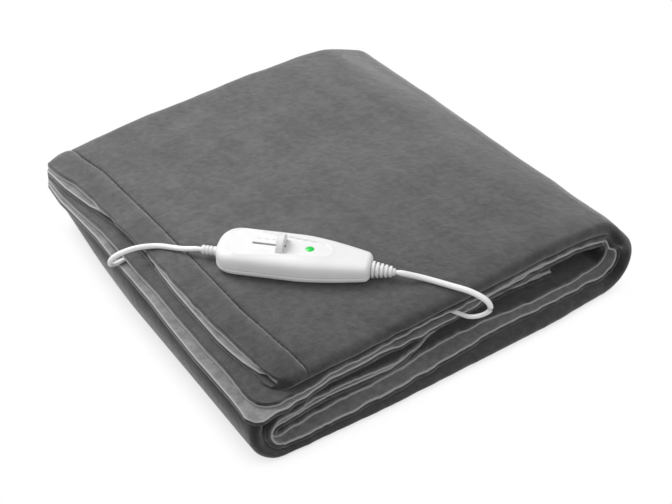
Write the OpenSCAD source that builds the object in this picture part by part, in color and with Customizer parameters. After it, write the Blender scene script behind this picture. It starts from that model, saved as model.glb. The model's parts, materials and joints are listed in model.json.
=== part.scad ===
// Heated over-blanket with an in-line slide controller, folded for storage.
// The blanket is folded twice lengthwise into four plies, d, c, b and a from the
// bottom up, and then in three across its width: a base panel, a middle panel and
// a top panel. Millimetres, +Z up, origin on the floor under the pack's middle.

/* [Fabric] */
// Thickness of the plush cover fabric
cover_t = 3.2; // [3.0:0.1:3.4]
// Thickness of the lining fabric
lining_t = 2.7; // [2.6:0.1:3.0]
// Thickness of the non-woven heater carrier
carrier_t = 0.5; // [0.4:0.1:0.6]
// Diameter of the heating wire
wire_d = 1.3; // [1.0:0.1:1.3]

/* [Folded pack] */
// Front face of the folded pack, measured from the origin
pack_front = 232; // [228:1:240]
// Back face of the folded pack, measured from the origin
pack_back = 250; // [235:1:260]
// Distance from the origin to the left fold axis
fold_left = 204; // [200:1:210]
// Distance from the origin to the right fold axis
fold_right = 217; // [212:1:225]
// Distance from the origin to the top hem of the top panel
hem_x = 213; // [211:1:216]
// Distance from the origin to the lower hem of the top panel, which stands further out
low_hem_x = 232; // [228:1:235]
// Where the middle panel ends, inside the right fold
middle_end = 158; // [150:1:165]

/* [Controller] */
// Length of the controller case
case_l = 157; // [155:1:160]
// Widest half-width of the case
case_half_w = 28.5; // [27.5:0.5:29.5]
// Height of the case at its crown
case_h = 27.5; // [27:0.5:28.5]
// Height of the parting line
parting_z = 9.5; // [9:0.5:10]
// Angle of the controller on the blanket
case_angle = -45.6; // [-50:0.1:-40]
// Travel of the slider from its last stop to off
slider_travel = 24; // [21:1:27]

/* [Cables] */
// Diameter of both cables
cable_d = 4.6; // [4.2:0.1:4.6]
// Pull that frees the connector plug
unplug_travel = 14; // [10:1:16]

/* [Hidden] */

// Nodes that touch are kept this far apart
skin = 0.05;
// Air between two plies, and between two panels
ply_gap = 0.3;
panel_gap = 0.4;
// Space for the heating wire between its carrier and the lining
wire_space = wire_d + 0.15;

// Heights inside one ply, measured from the cover's outer face
carrier_o = cover_t + skin;
wire_o = carrier_o + carrier_t + wire_space / 2;
lining_o = carrier_o + carrier_t + wire_space;
ply_t = lining_o + lining_t;
panel_t = 4 * ply_t + 3 * ply_gap;

// Levels of the three panels
left_inner_r = panel_gap / 2;
middle_z = panel_t + panel_gap;
top_z = middle_z + panel_t + panel_gap;
right_inner_r = (top_z - panel_t) / 2;
right_axis_z = panel_t + right_inner_r;
pack_h = top_z + panel_t;

// Centres of the folds along the pack's length
front_fold_r = ply_t + ply_gap / 2;
front_fold_y = -pack_front + front_fold_r;
back_fold_y = pack_back - panel_t / 2;
hem_y = -pack_front + 2;
// Height of the a-b fold axis, above a panel's underside
ab_axis = panel_t - front_fold_r;
mid_axis = panel_t / 2;

// Heating wire: six runs in each ply, joined in one series circuit
wire_runs = 6;
wire_pitch = 75;
wire_first_y = -wire_pitch * (wire_runs - 1) / 2;
wire_top_end = 150;
wire_middle_end = 100;
link_r = 10;

// Depth in the top panel where the cables lie, between plies c and d
nest_z = top_z + ply_t + ply_gap / 2;
nest_h = cable_d + 0.3;

// Hem seam of the top panel
seam_x = -181;
seam_w = 1.6;
seam_depth = 1.3;
stitch_l = 5;
stitch_pitch = 7.5;
stitch_r = 0.4;

// Controller position: the middle of its blunt end, on the top panel
case_pos = [-158.8, -33.1, pack_h + skin];
wall = 2;
roof = 4;
deck_z = case_h - 1.9;
knob_x = 65.5;
led_x = 95;
board_z = 6.5;
board_t = 1.6;
screw_places = [[24, 15], [24, -15], [128, 0]];
relief_r_small = 3.4;
relief_r_large = 5;
lead_r = 0.7;

// Connector between blanket and controller
connector_x = -112;
connector_y = -150;
socket_l = 38;
plug_l = 38;
connector_w = 22;
connector_h = 11.6;

// Mains lead folded zigzag between the plies
zigzag_x = -165;
zigzag_pitch = 14;
zigzag_runs = 14;
zigzag_y = [62, 183];
lead_in_y = 50;
mains_plug_x = 70;
mains_plug_y = 75;
mains_plug_size = [36, 35.4, 13.6];

cable_r = cable_d / 2;
$fn = 48;

// ---------- Shared shapes ----------

// Half ring in the length and height plane, opening towards +X
module half_ring(r_out, r_in) {
    difference() {
        circle(r = r_out);
        circle(r = r_in);
        translate([-2 * r_out, -r_out]) square([2 * r_out, 2 * r_out]);
    }
}

// One layer of the four folded plies, seen along the panel: length across, height up.
// It lies between offsets o1 and o2 from the cover's outer face.
module ply_strip(o1, o2) {
    t = o2 - o1;
    low_l = back_fold_y - hem_y;
    high_l = back_fold_y - front_fold_y;
    translate([hem_y, o1]) square([low_l, t]);
    translate([hem_y, mid_axis - ply_gap / 2 - o2]) square([low_l, t]);
    translate([front_fold_y, mid_axis + ply_gap / 2 + o1]) square([high_l, t]);
    translate([front_fold_y, panel_t - o2]) square([high_l, t]);
    translate([back_fold_y, mid_axis]) {
        half_ring(mid_axis - o1, mid_axis - o2);
        half_ring(ply_gap / 2 + o2, ply_gap / 2 + o1);
    }
    translate([front_fold_y, ab_axis])
        mirror([1, 0]) half_ring(front_fold_r - o1, front_fold_r - o2);
}

// A panel's cross-section drawn out along X
module panel_run(x1, x2) {
    translate([x1, 0, 0]) rotate([90, 0, 90]) linear_extrude(height = x2 - x1) children();
}

// A panel's cross-section turned half round a fold axis, towards +X
module panel_turn(inner_r) {
    rotate([-90, 0, 0]) rotate([0, 0, -90])
        rotate_extrude(angle = 180, $fn = 96)
            translate([inner_r, 0]) mirror([1, -1]) children();
}

module base_sweep() {
    translate([0, 0, panel_t]) mirror([0, 0, 1]) panel_run(-fold_left, fold_right) children();
    translate([-fold_left, 0, panel_t + left_inner_r])
        mirror([1, 0, 0]) panel_turn(left_inner_r) children();
    translate([0, 0, middle_z]) panel_run(-fold_left, middle_end) children();
}

module bend_sweep() {
    translate([fold_right, 0, right_axis_z]) panel_turn(right_inner_r) children();
}

// The top panel: its upper two plies end at the hem, its lower two stand further out
module top_sweep() {
    difference() {
        translate([0, 0, top_z]) panel_run(-low_hem_x, fold_right) children();
        translate([-low_hem_x - 1, -pack_front - 1, top_z + mid_axis])
            cube([low_hem_x - hem_x + 1, pack_front + pack_back + 2, mid_axis + 1]);
    }
}

// Space pressed into the plies by what lies between them
module nest(x1, x2, y1, y2, h) {
    translate([x1, y1, nest_z - h / 2]) cube([x2 - x1, y2 - y1, h]);
}

module nests() {
    nest(-low_hem_x - 8, zigzag_x - 12, lead_in_y - 8, lead_in_y + 8, nest_h);
    nest(-low_hem_x - 8, -low_hem_x + 22, lead_in_y - 12, lead_in_y + 8, 9.5);
    nest(zigzag_x - 13, mains_plug_x - 8, lead_in_y - 8, zigzag_y[1] + 14, nest_h);
    nest(mains_plug_x - 21, mains_plug_x + 58, mains_plug_y - 19, mains_plug_y + 19,
        mains_plug_size[2] + 0.8);
    nest(connector_x - socket_l - 14, connector_x + plug_l + unplug_travel + 10,
        connector_y - 14, connector_y + 14, connector_h + 1.4);
    nest(connector_x + plug_l + 4, 28, -pack_front - 5, connector_y + 12, nest_h);
    nest(-14, 32, -pack_front - 5, -pack_front + 14, 9.5);
}

function mix(a, b, t) = a + (b - a) * t;

// Points of a Catmull-Rom curve through p, n to a span
function spline_point(a, b, c, d, t) =
    0.5 * (2 * b + (c - a) * t + (2 * a - 5 * b + 4 * c - d) * t * t
        + (3 * b - a - 3 * c + d) * t * t * t);
function spline(p, n) = [
    for (i = [0:len(p) - 2], k = [0:n - 1])
        spline_point(p[max(i - 1, 0)], p[i], p[i + 1], p[min(i + 2, len(p) - 1)], k / n),
    p[len(p) - 1]
];

function unit(v) = v / norm(v);
function heading(p, i) = unit(p[min(i + 1, len(p) - 1)] - p[max(i - 1, 0)]);
// Sideways direction of a path at point i: level, square to the path
function sideways(p, i) = unit(cross(heading(p, i), [0.02, 0.03, 1]));

// Round rod of radius r swept along the points p
module rod(p, r, sides = 10) {
    ring = [
        for (i = [0:len(p) - 1], k = [0:sides - 1])
            let (s = sideways(p, i), u = cross(s, heading(p, i)), a = 360 * k / sides)
            p[i] + r * (cos(a) * s + sin(a) * u)
    ];
    last = (len(p) - 1) * sides;
    walls = [
        for (i = [0:len(p) - 2], k = [0:sides - 1])
            let (m = i * sides, j = (k + 1) % sides)
            [m + k, m + sides + k, m + sides + j, m + j]
    ];
    near_cap = [for (k = [0:sides - 1]) k];
    far_cap = [for (k = [sides - 1:-1:0]) last + k];
    polyhedron(points = ring, faces = concat([near_cap], walls, [far_cap]), convexity = 10);
}

// ---------- Blanket ----------

module cover_strip() {
    ply_strip(0, cover_t);
}

module lining_strip() {
    ply_strip(lining_o, ply_t);
}

module carrier_strip() {
    ply_strip(carrier_o, carrier_o + carrier_t);
}

module cover_base() {
    color("#4c4d4f") base_sweep() cover_strip();
}

module cover_bend() {
    color("#4c4d4f") bend_sweep() cover_strip();
}

module cover_top() {
    color("#5e5f61") difference() {
        top_sweep() cover_strip();
        nests();
        translate([seam_x - seam_w / 2, -pack_front - 1, pack_h - seam_depth])
            cube([seam_w, pack_front + back_fold_y, seam_depth + 1]);
    }
}

module lining_base() {
    color("#9b9c9e") base_sweep() lining_strip();
}

module lining_bend() {
    color("#9b9c9e") bend_sweep() lining_strip();
}

module lining_top() {
    color("#9b9c9e") difference() {
        top_sweep() lining_strip();
        nests();
    }
}

module carrier_base() {
    color("#e4e2da") base_sweep() carrier_strip();
}

module carrier_bend() {
    color("#e4e2da") bend_sweep() carrier_strip();
}

module carrier_top() {
    color("#e4e2da") difference() {
        top_sweep() carrier_strip();
        nests();
    }
}

// Height of the heating wire in a ply, above the panel's underside: d, c, b, a
function wire_level(ply) = [
    wire_o,
    mid_axis - ply_gap / 2 - wire_o,
    mid_axis + ply_gap / 2 + wire_o,
    panel_t - wire_o
][ply];
function run_y(run) = wire_first_y + run * wire_pitch;

// Straight stretch of wire along X
module wire_line(x1, x2, y, z) {
    translate([x1, y, z]) rotate([0, 90, 0]) cylinder(d = wire_d, h = x2 - x1);
}

// Level arc of wire about a point, starting at an angle from +X
module wire_arc(x, y, z, r, start, sweep) {
    translate([x, y, z]) rotate([0, 0, start])
        rotate_extrude(angle = sweep) translate([r, 0]) circle(d = wire_d, $fn = 24);
}

// Wire from one ply to the next, round a lengthwise fold
module ply_link(x, y_run, y_fold, z_fold, r, side) {
    for (lift = [-1, 1]) {
        z = z_fold + lift * r;
        wire_arc(x, y_run + side * link_r, z, link_r, side > 0 ? 180 : 90, 90);
        translate([x - link_r, y_run + side * link_r, z]) rotate([-90 * side, 0, 0])
            cylinder(d = wire_d, h = abs(y_fold - y_run) - link_r);
    }
    translate([x - link_r, y_fold, z_fold]) rotate([0, 90, 0]) rotate([0, 0, side * 90 - 90])
        rotate_extrude(angle = 180) translate([r, 0]) circle(d = wire_d, $fn = 24);
}

module wire_top() {
    color("#d98a3a") {
        for (ply = [0:3]) {
            z = top_z + wire_level(ply);
            for (run = [0:wire_runs - 1]) wire_line(-wire_top_end, fold_right, run_y(run), z);
            for (run = [1:2:wire_runs - 2])
                wire_arc(-wire_top_end, run_y(run) + wire_pitch / 2, z, wire_pitch / 2, 90, 180);
        }
        ply_link(-wire_top_end, run_y(5), back_fold_y, top_z + mid_axis,
            mid_axis - wire_o, 1);
        ply_link(-wire_top_end, run_y(5), back_fold_y, top_z + mid_axis,
            ply_gap / 2 + wire_o, 1);
        ply_link(-wire_top_end, run_y(0), front_fold_y, top_z + ab_axis,
            front_fold_r - wire_o, -1);
        socket_run = connector_y - run_y(0);
        for (ply = [0:1])
            wire_arc(-wire_top_end, run_y(0) + socket_run / 2, top_z + wire_level(ply),
                socket_run / 2, 90, 180);
    }
}

module wire_bend() {
    color("#d98a3a") for (ply = [0:3], run = [0:wire_runs - 1])
        translate([fold_right, run_y(run), right_axis_z])
            rotate([-90, 0, 0]) rotate([0, 0, -90]) rotate_extrude(angle = 180)
                translate([right_inner_r + wire_level(ply), 0]) circle(d = wire_d, $fn = 24);
}

module wire_base() {
    color("#d98a3a") for (ply = [0:3]) {
        low_z = panel_t - wire_level(ply);
        high_z = middle_z + wire_level(ply);
        for (run = [0:wire_runs - 1]) {
            wire_line(-fold_left, fold_right, run_y(run), low_z);
            wire_line(-fold_left, wire_middle_end, run_y(run), high_z);
            translate([-fold_left, run_y(run), panel_t + left_inner_r])
                rotate([-90, 0, 0]) rotate([0, 0, 90]) rotate_extrude(angle = 180)
                    translate([left_inner_r + wire_level(ply), 0])
                        circle(d = wire_d, $fn = 24);
        }
        for (run = [0:2:wire_runs - 2])
            wire_arc(wire_middle_end, run_y(run) + wire_pitch / 2, high_z,
                wire_pitch / 2, -90, 180);
    }
}

module hem_stitching() {
    color("#48494b") for (y = [-pack_front + 12:stitch_pitch:back_fold_y - 12])
        translate([seam_x, y, pack_h - seam_depth + stitch_r + 0.1])
            rotate([-90, 0, 0]) cylinder(r = stitch_r, h = stitch_l, $fn = 16);
}

// ---------- Controller case ----------

module on_blanket() {
    translate(case_pos) rotate([0, 0, case_angle]) children();
}

function to_pack(p) =
    case_pos + [
        p[0] * cos(case_angle) - p[1] * sin(case_angle),
        p[0] * sin(case_angle) + p[1] * cos(case_angle),
        p[2]
    ];

nose_l = 26;
taper_x = 85;
tail_l = 6;
tip_half_w = 16;
tip_crown = 21;
upper_power = 0.5;
lower_power = 0.6;
case_start = 0.6;
hollow_start = 5;
hollow_end = 4;
function nose(x) = x < nose_l ? pow(1 - pow(1 - x / nose_l, 2.5), 0.4) : 1;
function taper(x) = x > taper_x ? pow((x - taper_x) / (case_l - taper_x), 1.5) : 0;
function tail(x) = x > case_l - tail_l
    ? sqrt(1 - 0.45 * pow((x - case_l + tail_l) / tail_l, 3)) : 1;
function half_w(x) = mix(case_half_w, tip_half_w, taper(x)) * nose(x) * tail(x);
function crown(x) = mix(case_h, tip_crown, taper(x)) * (0.55 + 0.45 * nose(x));
function keel(x) = 3.5 * (1 - nose(x)) + 2.5 * taper(x);

// One cross-section of the case: rounder above the parting line than below it
function case_ring(x, side_in, top_in, low_in, sides) = [
    for (k = [0:sides - 1])
        let (
            a = 360 * (k + 0.5) / sides,
            c = cos(a),
            s = sin(a),
            w = half_w(x) - side_in,
            full = s > 0 ? crown(x) - top_in - parting_z : parting_z - keel(x) - low_in,
            h = full * tail(x),
            n = s > 0 ? upper_power : lower_power
        )
        [x, w * sign(c) * pow(abs(c), n), parting_z + h * sign(s) * pow(abs(s), n)]
];

module case_form(x1, x2, side_in, top_in, low_in) {
    sides = 28;
    steps = 16;
    stations = [for (i = [0:steps]) mix(x1, x2, (1 - cos(180 * i / steps)) / 2)];
    points = [for (x = stations) each case_ring(x, side_in, top_in, low_in, sides)];
    walls = [
        for (i = [0:steps - 1], k = [0:sides - 1])
            let (m = i * sides, j = (k + 1) % sides)
            [m + k, m + sides + k, m + sides + j, m + j]
    ];
    near_cap = [for (k = [0:sides - 1]) k];
    far_cap = [for (k = [sides - 1:-1:0]) steps * sides + k];
    polyhedron(points = points, faces = concat([near_cap], walls, [far_cap]), convexity = 6);
}

module case_wall() {
    relief_bore_l = 15;
    flange_x = 10;
    flange_pocket_r = 5.7;
    flange_pocket_l = 6;
    difference() {
        case_form(case_start, case_l, 0, 0, 0);
        case_form(hollow_start, case_l - hollow_end, wall, roof, wall);
        translate([-hollow_start, 0, parting_z]) rotate([0, 90, 0])
            cylinder(r = relief_r_small + 0.1, h = relief_bore_l);
        translate([case_l - flange_x, 0, parting_z]) rotate([0, 90, 0]) {
            cylinder(r = relief_r_large + 0.1, h = relief_bore_l);
            cylinder(r = flange_pocket_r, h = flange_pocket_l);
        }
    }
}

// Outline of the sunk deck that the slider and the light sit in, as [x, radius] of its ends
deck_ends = [[27, 21], [106, 11]];
module deck_outline() {
    hull() {
        for (end = deck_ends) translate([end[0], 0]) circle(r = end[1]);
    }
}

slot_w = 3.2;
slot_spare = 5.5;
window_r = 4.4;
led_hole_r = window_r + 0.1;
boss_r = 3;
boss_bore_r = 1.5;
boss_bore_l = 7.5;
foot_r = 4;
screw_head_r = 2.6;
screw_r = 1.4;
screw_l = 12.5;
screw_z = 1.2;
board_post_r = 2;
board_posts_x = [34, 110];
board_posts_y = [-12, 12];

module controller_top_shell() {
    color("#ececec") on_blanket() {
        difference() {
            intersection() {
                case_wall();
                translate([-5, -40, parting_z + skin]) cube([case_l + 10, 80, 40]);
            }
            translate([0, 0, deck_z]) linear_extrude(height = 10) deck_outline();
            translate([knob_x - slider_travel - slot_spare, -slot_w / 2, 15])
                cube([slider_travel + 2 * slot_spare, slot_w, 20]);
            translate([led_x, 0, 15]) cylinder(r = led_hole_r, h = 20);
        }
        for (p = screw_places) translate([p[0], p[1], parting_z + 1]) difference() {
            cylinder(r = boss_r, h = crown(p[0]) - roof - parting_z - 0.5);
            translate([0, 0, -1]) cylinder(r = boss_bore_r, h = boss_bore_l);
        }
    }
}

module controller_bottom_shell() {
    color("#e6e6e6") on_blanket() difference() {
        union() {
            intersection() {
                case_wall();
                translate([-5, -40, -5]) cube([case_l + 10, 80, parting_z + 5 - skin]);
            }
            for (p = screw_places) translate([p[0], p[1], 1.5]) cylinder(r = foot_r, h = 4.5);
            for (x = board_posts_x, y = board_posts_y) translate([x, y, 1.5])
                cylinder(r = board_post_r, h = board_z - 1.6);
        }
        for (p = screw_places) translate([p[0], p[1], -1]) {
            cylinder(r = screw_r + 0.3, h = 12);
            cylinder(r = screw_head_r + 0.4, h = 4);
        }
    }
}

module case_screws() {
    head_h = 1.7;
    drive = [3.2, 0.6, 1.8];
    color("#9fa3a6") on_blanket() for (p = screw_places) translate([p[0], p[1], screw_z])
        difference() {
            union() {
                cylinder(r = screw_head_r, h = head_h);
                cylinder(r = screw_r, h = screw_l);
            }
            for (a = [0, 90]) rotate([0, 0, a]) translate([-drive[0] / 2, -drive[1] / 2, -1])
                cube(drive);
        }
}

// ---------- Slider ----------

module slider_knob() {
    knob_w = 24;
    knob_h = 11.5;
    knob_t = 8;
    thumb_r = 27.2;
    thumb_x = 26;
    stem_l = 5;
    stem_w = 2.4;
    color("#e9e9e9") on_blanket() translate([knob_x, 0, deck_z + 0.3]) {
        difference() {
            rotate([90, 0, 90]) translate([0, 0, -knob_t / 2]) linear_extrude(height = knob_t)
                intersection() {
                    translate([0, knob_h - knob_w / 2 - 0.7])
                        circle(r = knob_w / 2 + 0.7, $fn = 64);
                    translate([-knob_w / 2, 0]) square([knob_w, knob_h]);
                }
            translate([-knob_t / 2 - thumb_x, -20, knob_h / 2 + 1]) rotate([-90, 0, 0])
                cylinder(r = thumb_r, h = 40, $fn = 96);
        }
        translate([-stem_l / 2, -stem_w / 2, -roof]) cube([stem_l, stem_w, roof + 0.5]);
    }
}

carriage_z = deck_z - 7.7;
wiper_t = 0.3;

module slider_carriage() {
    size = [12, 11, 3.4];
    nub_r = 1.5;
    color("#3c5a78") on_blanket() translate([knob_x, 0, carriage_z]) {
        translate([-size[0] / 2, -size[1] / 2, 0]) cube(size);
        translate([0, size[1] / 2, 0]) cylinder(r = nub_r, h = size[2]);
    }
}

module wiper_contact() {
    arm = [10, 2.5, wiper_t];
    span = 9;
    bridge_w = 2;
    color("#c9a24a") on_blanket() translate([knob_x - arm[0] / 2, -span / 2, carriage_z - 0.35]) {
        cube(arm);
        translate([0, span - arm[1], 0]) cube(arm);
        cube([bridge_w, span, wiper_t]);
    }
}

module switch_base() {
    base_l = slider_travel + 20;
    base_w = 16;
    base_h = carriage_z - board_z - board_t - skin - 0.55;
    track_w = 2.5;
    track_depth = 0.5;
    track_ends = 3;
    color("#2f3133") on_blanket()
        translate([knob_x - slider_travel - 8, -base_w / 2, board_z + board_t + skin])
            difference() {
                cube([base_l, base_w, base_h]);
                for (y = [3.5, 10]) translate([track_ends, y, base_h - track_depth])
                    cube([base_l - 2 * track_ends, track_w, 1]);
            }
}

// Wavy leaf that the carriage's nose clicks along
module detent_spring() {
    stops = 3;
    leaf_l = slider_travel + 16;
    steps = 44;
    leaf_t = 0.35;
    leaf_h = 3.2;
    click_depth = 0.5;
    first_stop = 2;
    function wave(x) =
        click_depth * cos(360 * stops * (x - leaf_l / 2 - first_stop) / slider_travel);
    line = [for (i = [0:steps]) let (x = leaf_l * i / steps) [x, wave(x)]];
    back = [for (i = [steps:-1:0]) let (x = leaf_l * i / steps) [x, wave(x) + leaf_t]];
    color("#b9bcc0") on_blanket() translate([knob_x - slider_travel - 6, 7.65, carriage_z + 0.1])
        linear_extrude(height = leaf_h) polygon(concat(line, back));
}

// ---------- Electronics ----------

module led_window() {
    window_z = deck_z - 8.6;
    dome_r = 7.6;
    dome_drop = 6.17;
    color("#28c840") on_blanket() translate([led_x, 0, window_z]) {
        cylinder(r = window_r, h = deck_z - window_z);
        translate([0, 0, deck_z - window_z - dome_drop]) intersection() {
            sphere(r = dome_r);
            cylinder(r = window_r, h = dome_r);
        }
    }
}

module led() {
    bulb_r = 1.5;
    bulb_h = 3.2;
    color("#bfeec6") on_blanket() translate([led_x, 0, board_z + board_t + skin]) {
        cylinder(r = bulb_r + 0.4, h = 1);
        cylinder(r = bulb_r, h = bulb_h);
        translate([0, 0, bulb_h]) sphere(r = bulb_r);
    }
}

module circuit_board() {
    board_x = 17;
    board_size = [102, 28];
    color("#2f7d46") on_blanket() translate([0, 0, board_z]) difference() {
        translate([board_x, -board_size[1] / 2, 0]) cube([board_size[0], board_size[1], board_t]);
        for (p = screw_places) translate([p[0], p[1], -1]) cylinder(r = foot_r + 0.4, h = 4);
    }
}

module triac() {
    body = [9, 10, 4.4];
    tab = [6, 10, 1.3];
    color("#1f2022") on_blanket() translate([92, -13, board_z + board_t + skin]) {
        cube(body);
        translate([body[0], 0, 0]) cube(tab);
    }
}

module suppression_capacitor() {
    color("#d9b54a") on_blanket() translate([90, 5, board_z + board_t + skin])
        cube([14, 6.5, 8]);
}

module fuse() {
    fuse_l = 20;
    tube_r = 2.3;
    cap_r = 2.6;
    cap_l = 4.5;
    color("#d7dadc") on_blanket() translate([66, -11, board_z + board_t + 2.8])
        rotate([0, 90, 0]) {
            cylinder(r = tube_r, h = fuse_l);
            for (z = [0, fuse_l - cap_l]) translate([0, 0, z]) cylinder(r = cap_r, h = cap_l);
        }
}

module terminal_block() {
    ways = [3, 7.7, 12.3, 17];
    wire_hole_r = 1.1;
    screw_hole_r = 1.3;
    color("#3f8f5b") on_blanket() translate([109.5, -10, board_z + board_t + skin]) difference() {
        cube([8, 20, 6.5]);
        for (y = ways) {
            translate([3, y, 3]) rotate([0, 90, 0]) cylinder(r = wire_hole_r, h = 9);
            translate([4, y, 4]) cylinder(r = screw_hole_r, h = 4);
        }
    }
}

// ---------- Cables ----------

module strain_relief_small() {
    rings = 4;
    ring_pitch = 4;
    ring_r = 4.7;
    core_r = 3.9;
    flange_r = 4.4;
    color("#f0f0f0") on_blanket() translate([0, 0, parting_z]) rotate([0, -90, 0]) difference() {
        union() {
            translate([0, 0, -8]) cylinder(r = relief_r_small, h = 24.5);
            translate([0, 0, -9]) cylinder(r = flange_r, h = 2.8);
            translate([0, 0, 0.3]) cylinder(r = core_r, h = 16.2);
            for (i = [0:rings - 1]) translate([0, 0, 1 + i * ring_pitch])
                cylinder(r = ring_r, h = 2.6);
        }
        translate([0, 0, -12]) cylinder(r = cable_r + 0.05, h = 32);
    }
}

module strain_relief_large() {
    rings = 5;
    ring_pitch = 4.3;
    ring_r = 8.6;
    ring_step = 0.7;
    flange_r = 5.6;
    color("#f0f0f0") on_blanket() translate([case_l, 0, parting_z]) rotate([0, 90, 0])
        difference() {
            union() {
                translate([0, 0, -6]) cylinder(r = relief_r_large, h = 12);
                translate([0, 0, -8]) cylinder(r = flange_r, h = 3.8);
                cylinder(r1 = 6.6, r2 = 3.6, h = 24);
                for (i = [0:rings - 1]) translate([0, 0, 1 + i * ring_pitch])
                    cylinder(r = ring_r - ring_step * i, h = 2.5);
            }
            translate([0, 0, -10]) cylinder(r = cable_r + 0.05, h = 40);
        }
}

// Bars that hold both cables down inside the case
module cable_clamps() {
    bar = [3, 14, 2.2];
    color("#dcdcdc") on_blanket() for (x = [10, case_l - 17])
        translate([x, -bar[1] / 2, parting_z + cable_r + 0.1]) cube(bar);
}

// Half turns of the zigzag, seen from above, at run k
function zigzag_run(k) =
    let (
        x = zigzag_x + k * zigzag_pitch,
        up = k % 2 == 0,
        r = zigzag_pitch / 2,
        y1 = up ? zigzag_y[0] : zigzag_y[1],
        y2 = up ? zigzag_y[1] : zigzag_y[0]
    )
    concat(
        [[x, y1, nest_z], [x, y2, nest_z]],
        k == zigzag_runs - 1 ? [] : [
            for (a = [30:30:150])
                [x + r - r * cos(a), y2 + (up ? r : -r) * sin(a), nest_z]
        ]
    );

lay_z = pack_h + cable_r + 0.15;

module mains_cable() {
    in_r = 12;
    out_r = 13;
    over_edge = [
        to_pack([9, 0, parting_z]), to_pack([-6, 0, parting_z]), to_pack([-18, 0, parting_z]),
        to_pack([-23, 0, parting_z - 0.3]), [-184, -3, lay_z + 2.6],
        [-200, 18, lay_z], [-219, 27, lay_z - 0.1],
        [-237, 31, lay_z - 2.6], [-244.5, 36, lay_z - 10], [-243.5, 42, lay_z - 20],
        [-236, 47, nest_z + 1.2], [-222, lead_in_y, nest_z], [-200, lead_in_y, nest_z]
    ];
    last_x = zigzag_x + (zigzag_runs - 1) * zigzag_pitch;
    zigzag = [for (k = [0:zigzag_runs - 1]) each zigzag_run(k)];
    lead_in = [
        for (a = [0:30:60])
            [zigzag_x - in_r + in_r * sin(a), lead_in_y + in_r - in_r * cos(a), nest_z]
    ];
    to_plug = [
        for (a = [30:30:90])
            [last_x + out_r - out_r * cos(a), zigzag_y[0] - out_r * sin(a), nest_z]
    ];
    tail = spline([
        to_plug[2], [last_x + 24, 51, nest_z], [last_x + 36, 62, nest_z],
        [mains_plug_x - 12, mains_plug_y, nest_z], [mains_plug_x - 0.5, mains_plug_y, nest_z]
    ], 5);
    color("#f4f4f4") rod(concat(spline(over_edge, 5), lead_in, zigzag,
        [to_plug[0], to_plug[1]], tail), cable_r);
}

module blanket_cable() {
    tail_x = connector_x + plug_l;
    path = [
        to_pack([case_l - 10, 0, parting_z]), to_pack([case_l + 10, 0, parting_z]),
        to_pack([case_l + 24, 0, parting_z]), to_pack([case_l + 30, 0, parting_z - 0.3]),
        [-12, -180, lay_z + 2.4], [4, -203, lay_z + 0.4], [15, -223, lay_z + 0.3],
        [23, -238, lay_z - 4.3],
        [24.5, -241.5, lay_z - 13], [19.5, -236, lay_z - 22], [12, -227, nest_z + 0.6],
        [7, -216, nest_z], [0, -202, nest_z], [-14, -184, nest_z], [-34, -163, nest_z],
        [tail_x + 14, connector_y, nest_z], [tail_x + 7, connector_y, nest_z],
        [tail_x + 0.3, connector_y, nest_z]
    ];
    color("#f4f4f4") rod(spline(path, 5), cable_r);
}

// A pair of insulated inner leads, one each side of the case's middle line
module lead_pair(path) {
    for (side = [-1, 1])
        rod(spline([for (p = path) [p[0], side * p[1], parting_z + p[2]]], 4), lead_r, 8);
}

module mains_leads() {
    color("#3f6fb0") on_blanket()
        lead_pair([[10.3, 1.2, 0], [11.4, 5, 0], [13.4, 9.3, 0.2], [24, 9.6, 0.6], [44, 9.6, 0.4]]);
}

module blanket_leads() {
    color("#8a5a34") on_blanket()
        lead_pair([[case_l - 10.5, 1.2, 0], [case_l - 18, 4.2, 0.1], [128, 6.3, 0.3],
            [118.5, 7, 0.6]]);
}

// ---------- Blanket connector ----------

module connector_frame() {
    translate([connector_x, connector_y, nest_z]) children();
}

nose_size = [10, 15, 7];
pin_rows = [-4.5, 0, 4.5];
pin_r = 0.8;
sleeve_r = 1.6;

module socket_body() {
    translate([-socket_l, -connector_w / 2, -connector_h / 2]) difference() {
        cube([socket_l - 0.2, connector_w, connector_h]);
        translate([socket_l - nose_size[0] - 0.6, (connector_w - nose_size[1]) / 2 - 0.2,
            (connector_h - nose_size[2]) / 2 - 0.2])
            cube([nose_size[0] + 2, nose_size[1] + 0.4, nose_size[2] + 0.4]);
        translate([10, 4, 2]) cube([socket_l - nose_size[0] - 12, connector_w - 8,
            connector_h - 4]);
        for (y = pin_rows) translate([20, connector_w / 2 + y, connector_h / 2])
            rotate([0, 90, 0]) cylinder(r = sleeve_r + 0.05, h = 12);
        for (z = [top_z + wire_level(0) - nest_z, top_z + wire_level(1) - nest_z])
            translate([-1, connector_w / 2, z + connector_h / 2]) rotate([0, 90, 0])
                cylinder(d = wire_d + 0.2, h = 12);
    }
}

module socket_lower_shell() {
    color("#d8d8d8") connector_frame() intersection() {
        socket_body();
        translate([-socket_l - 1, -20, -20]) cube([socket_l + 2, 40, 20 - skin]);
    }
}

module socket_upper_shell() {
    color("#dedede") connector_frame() intersection() {
        socket_body();
        translate([-socket_l - 1, -20, skin]) cube([socket_l + 2, 40, 20]);
    }
}

module socket_contacts() {
    color("#c9a24a") connector_frame() for (y = pin_rows) translate([-19, y, 0])
        rotate([0, 90, 0]) difference() {
            cylinder(r = sleeve_r, h = 8);
            translate([0, 0, 2]) cylinder(r = pin_r + 0.2, h = 8);
        }
}

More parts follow.
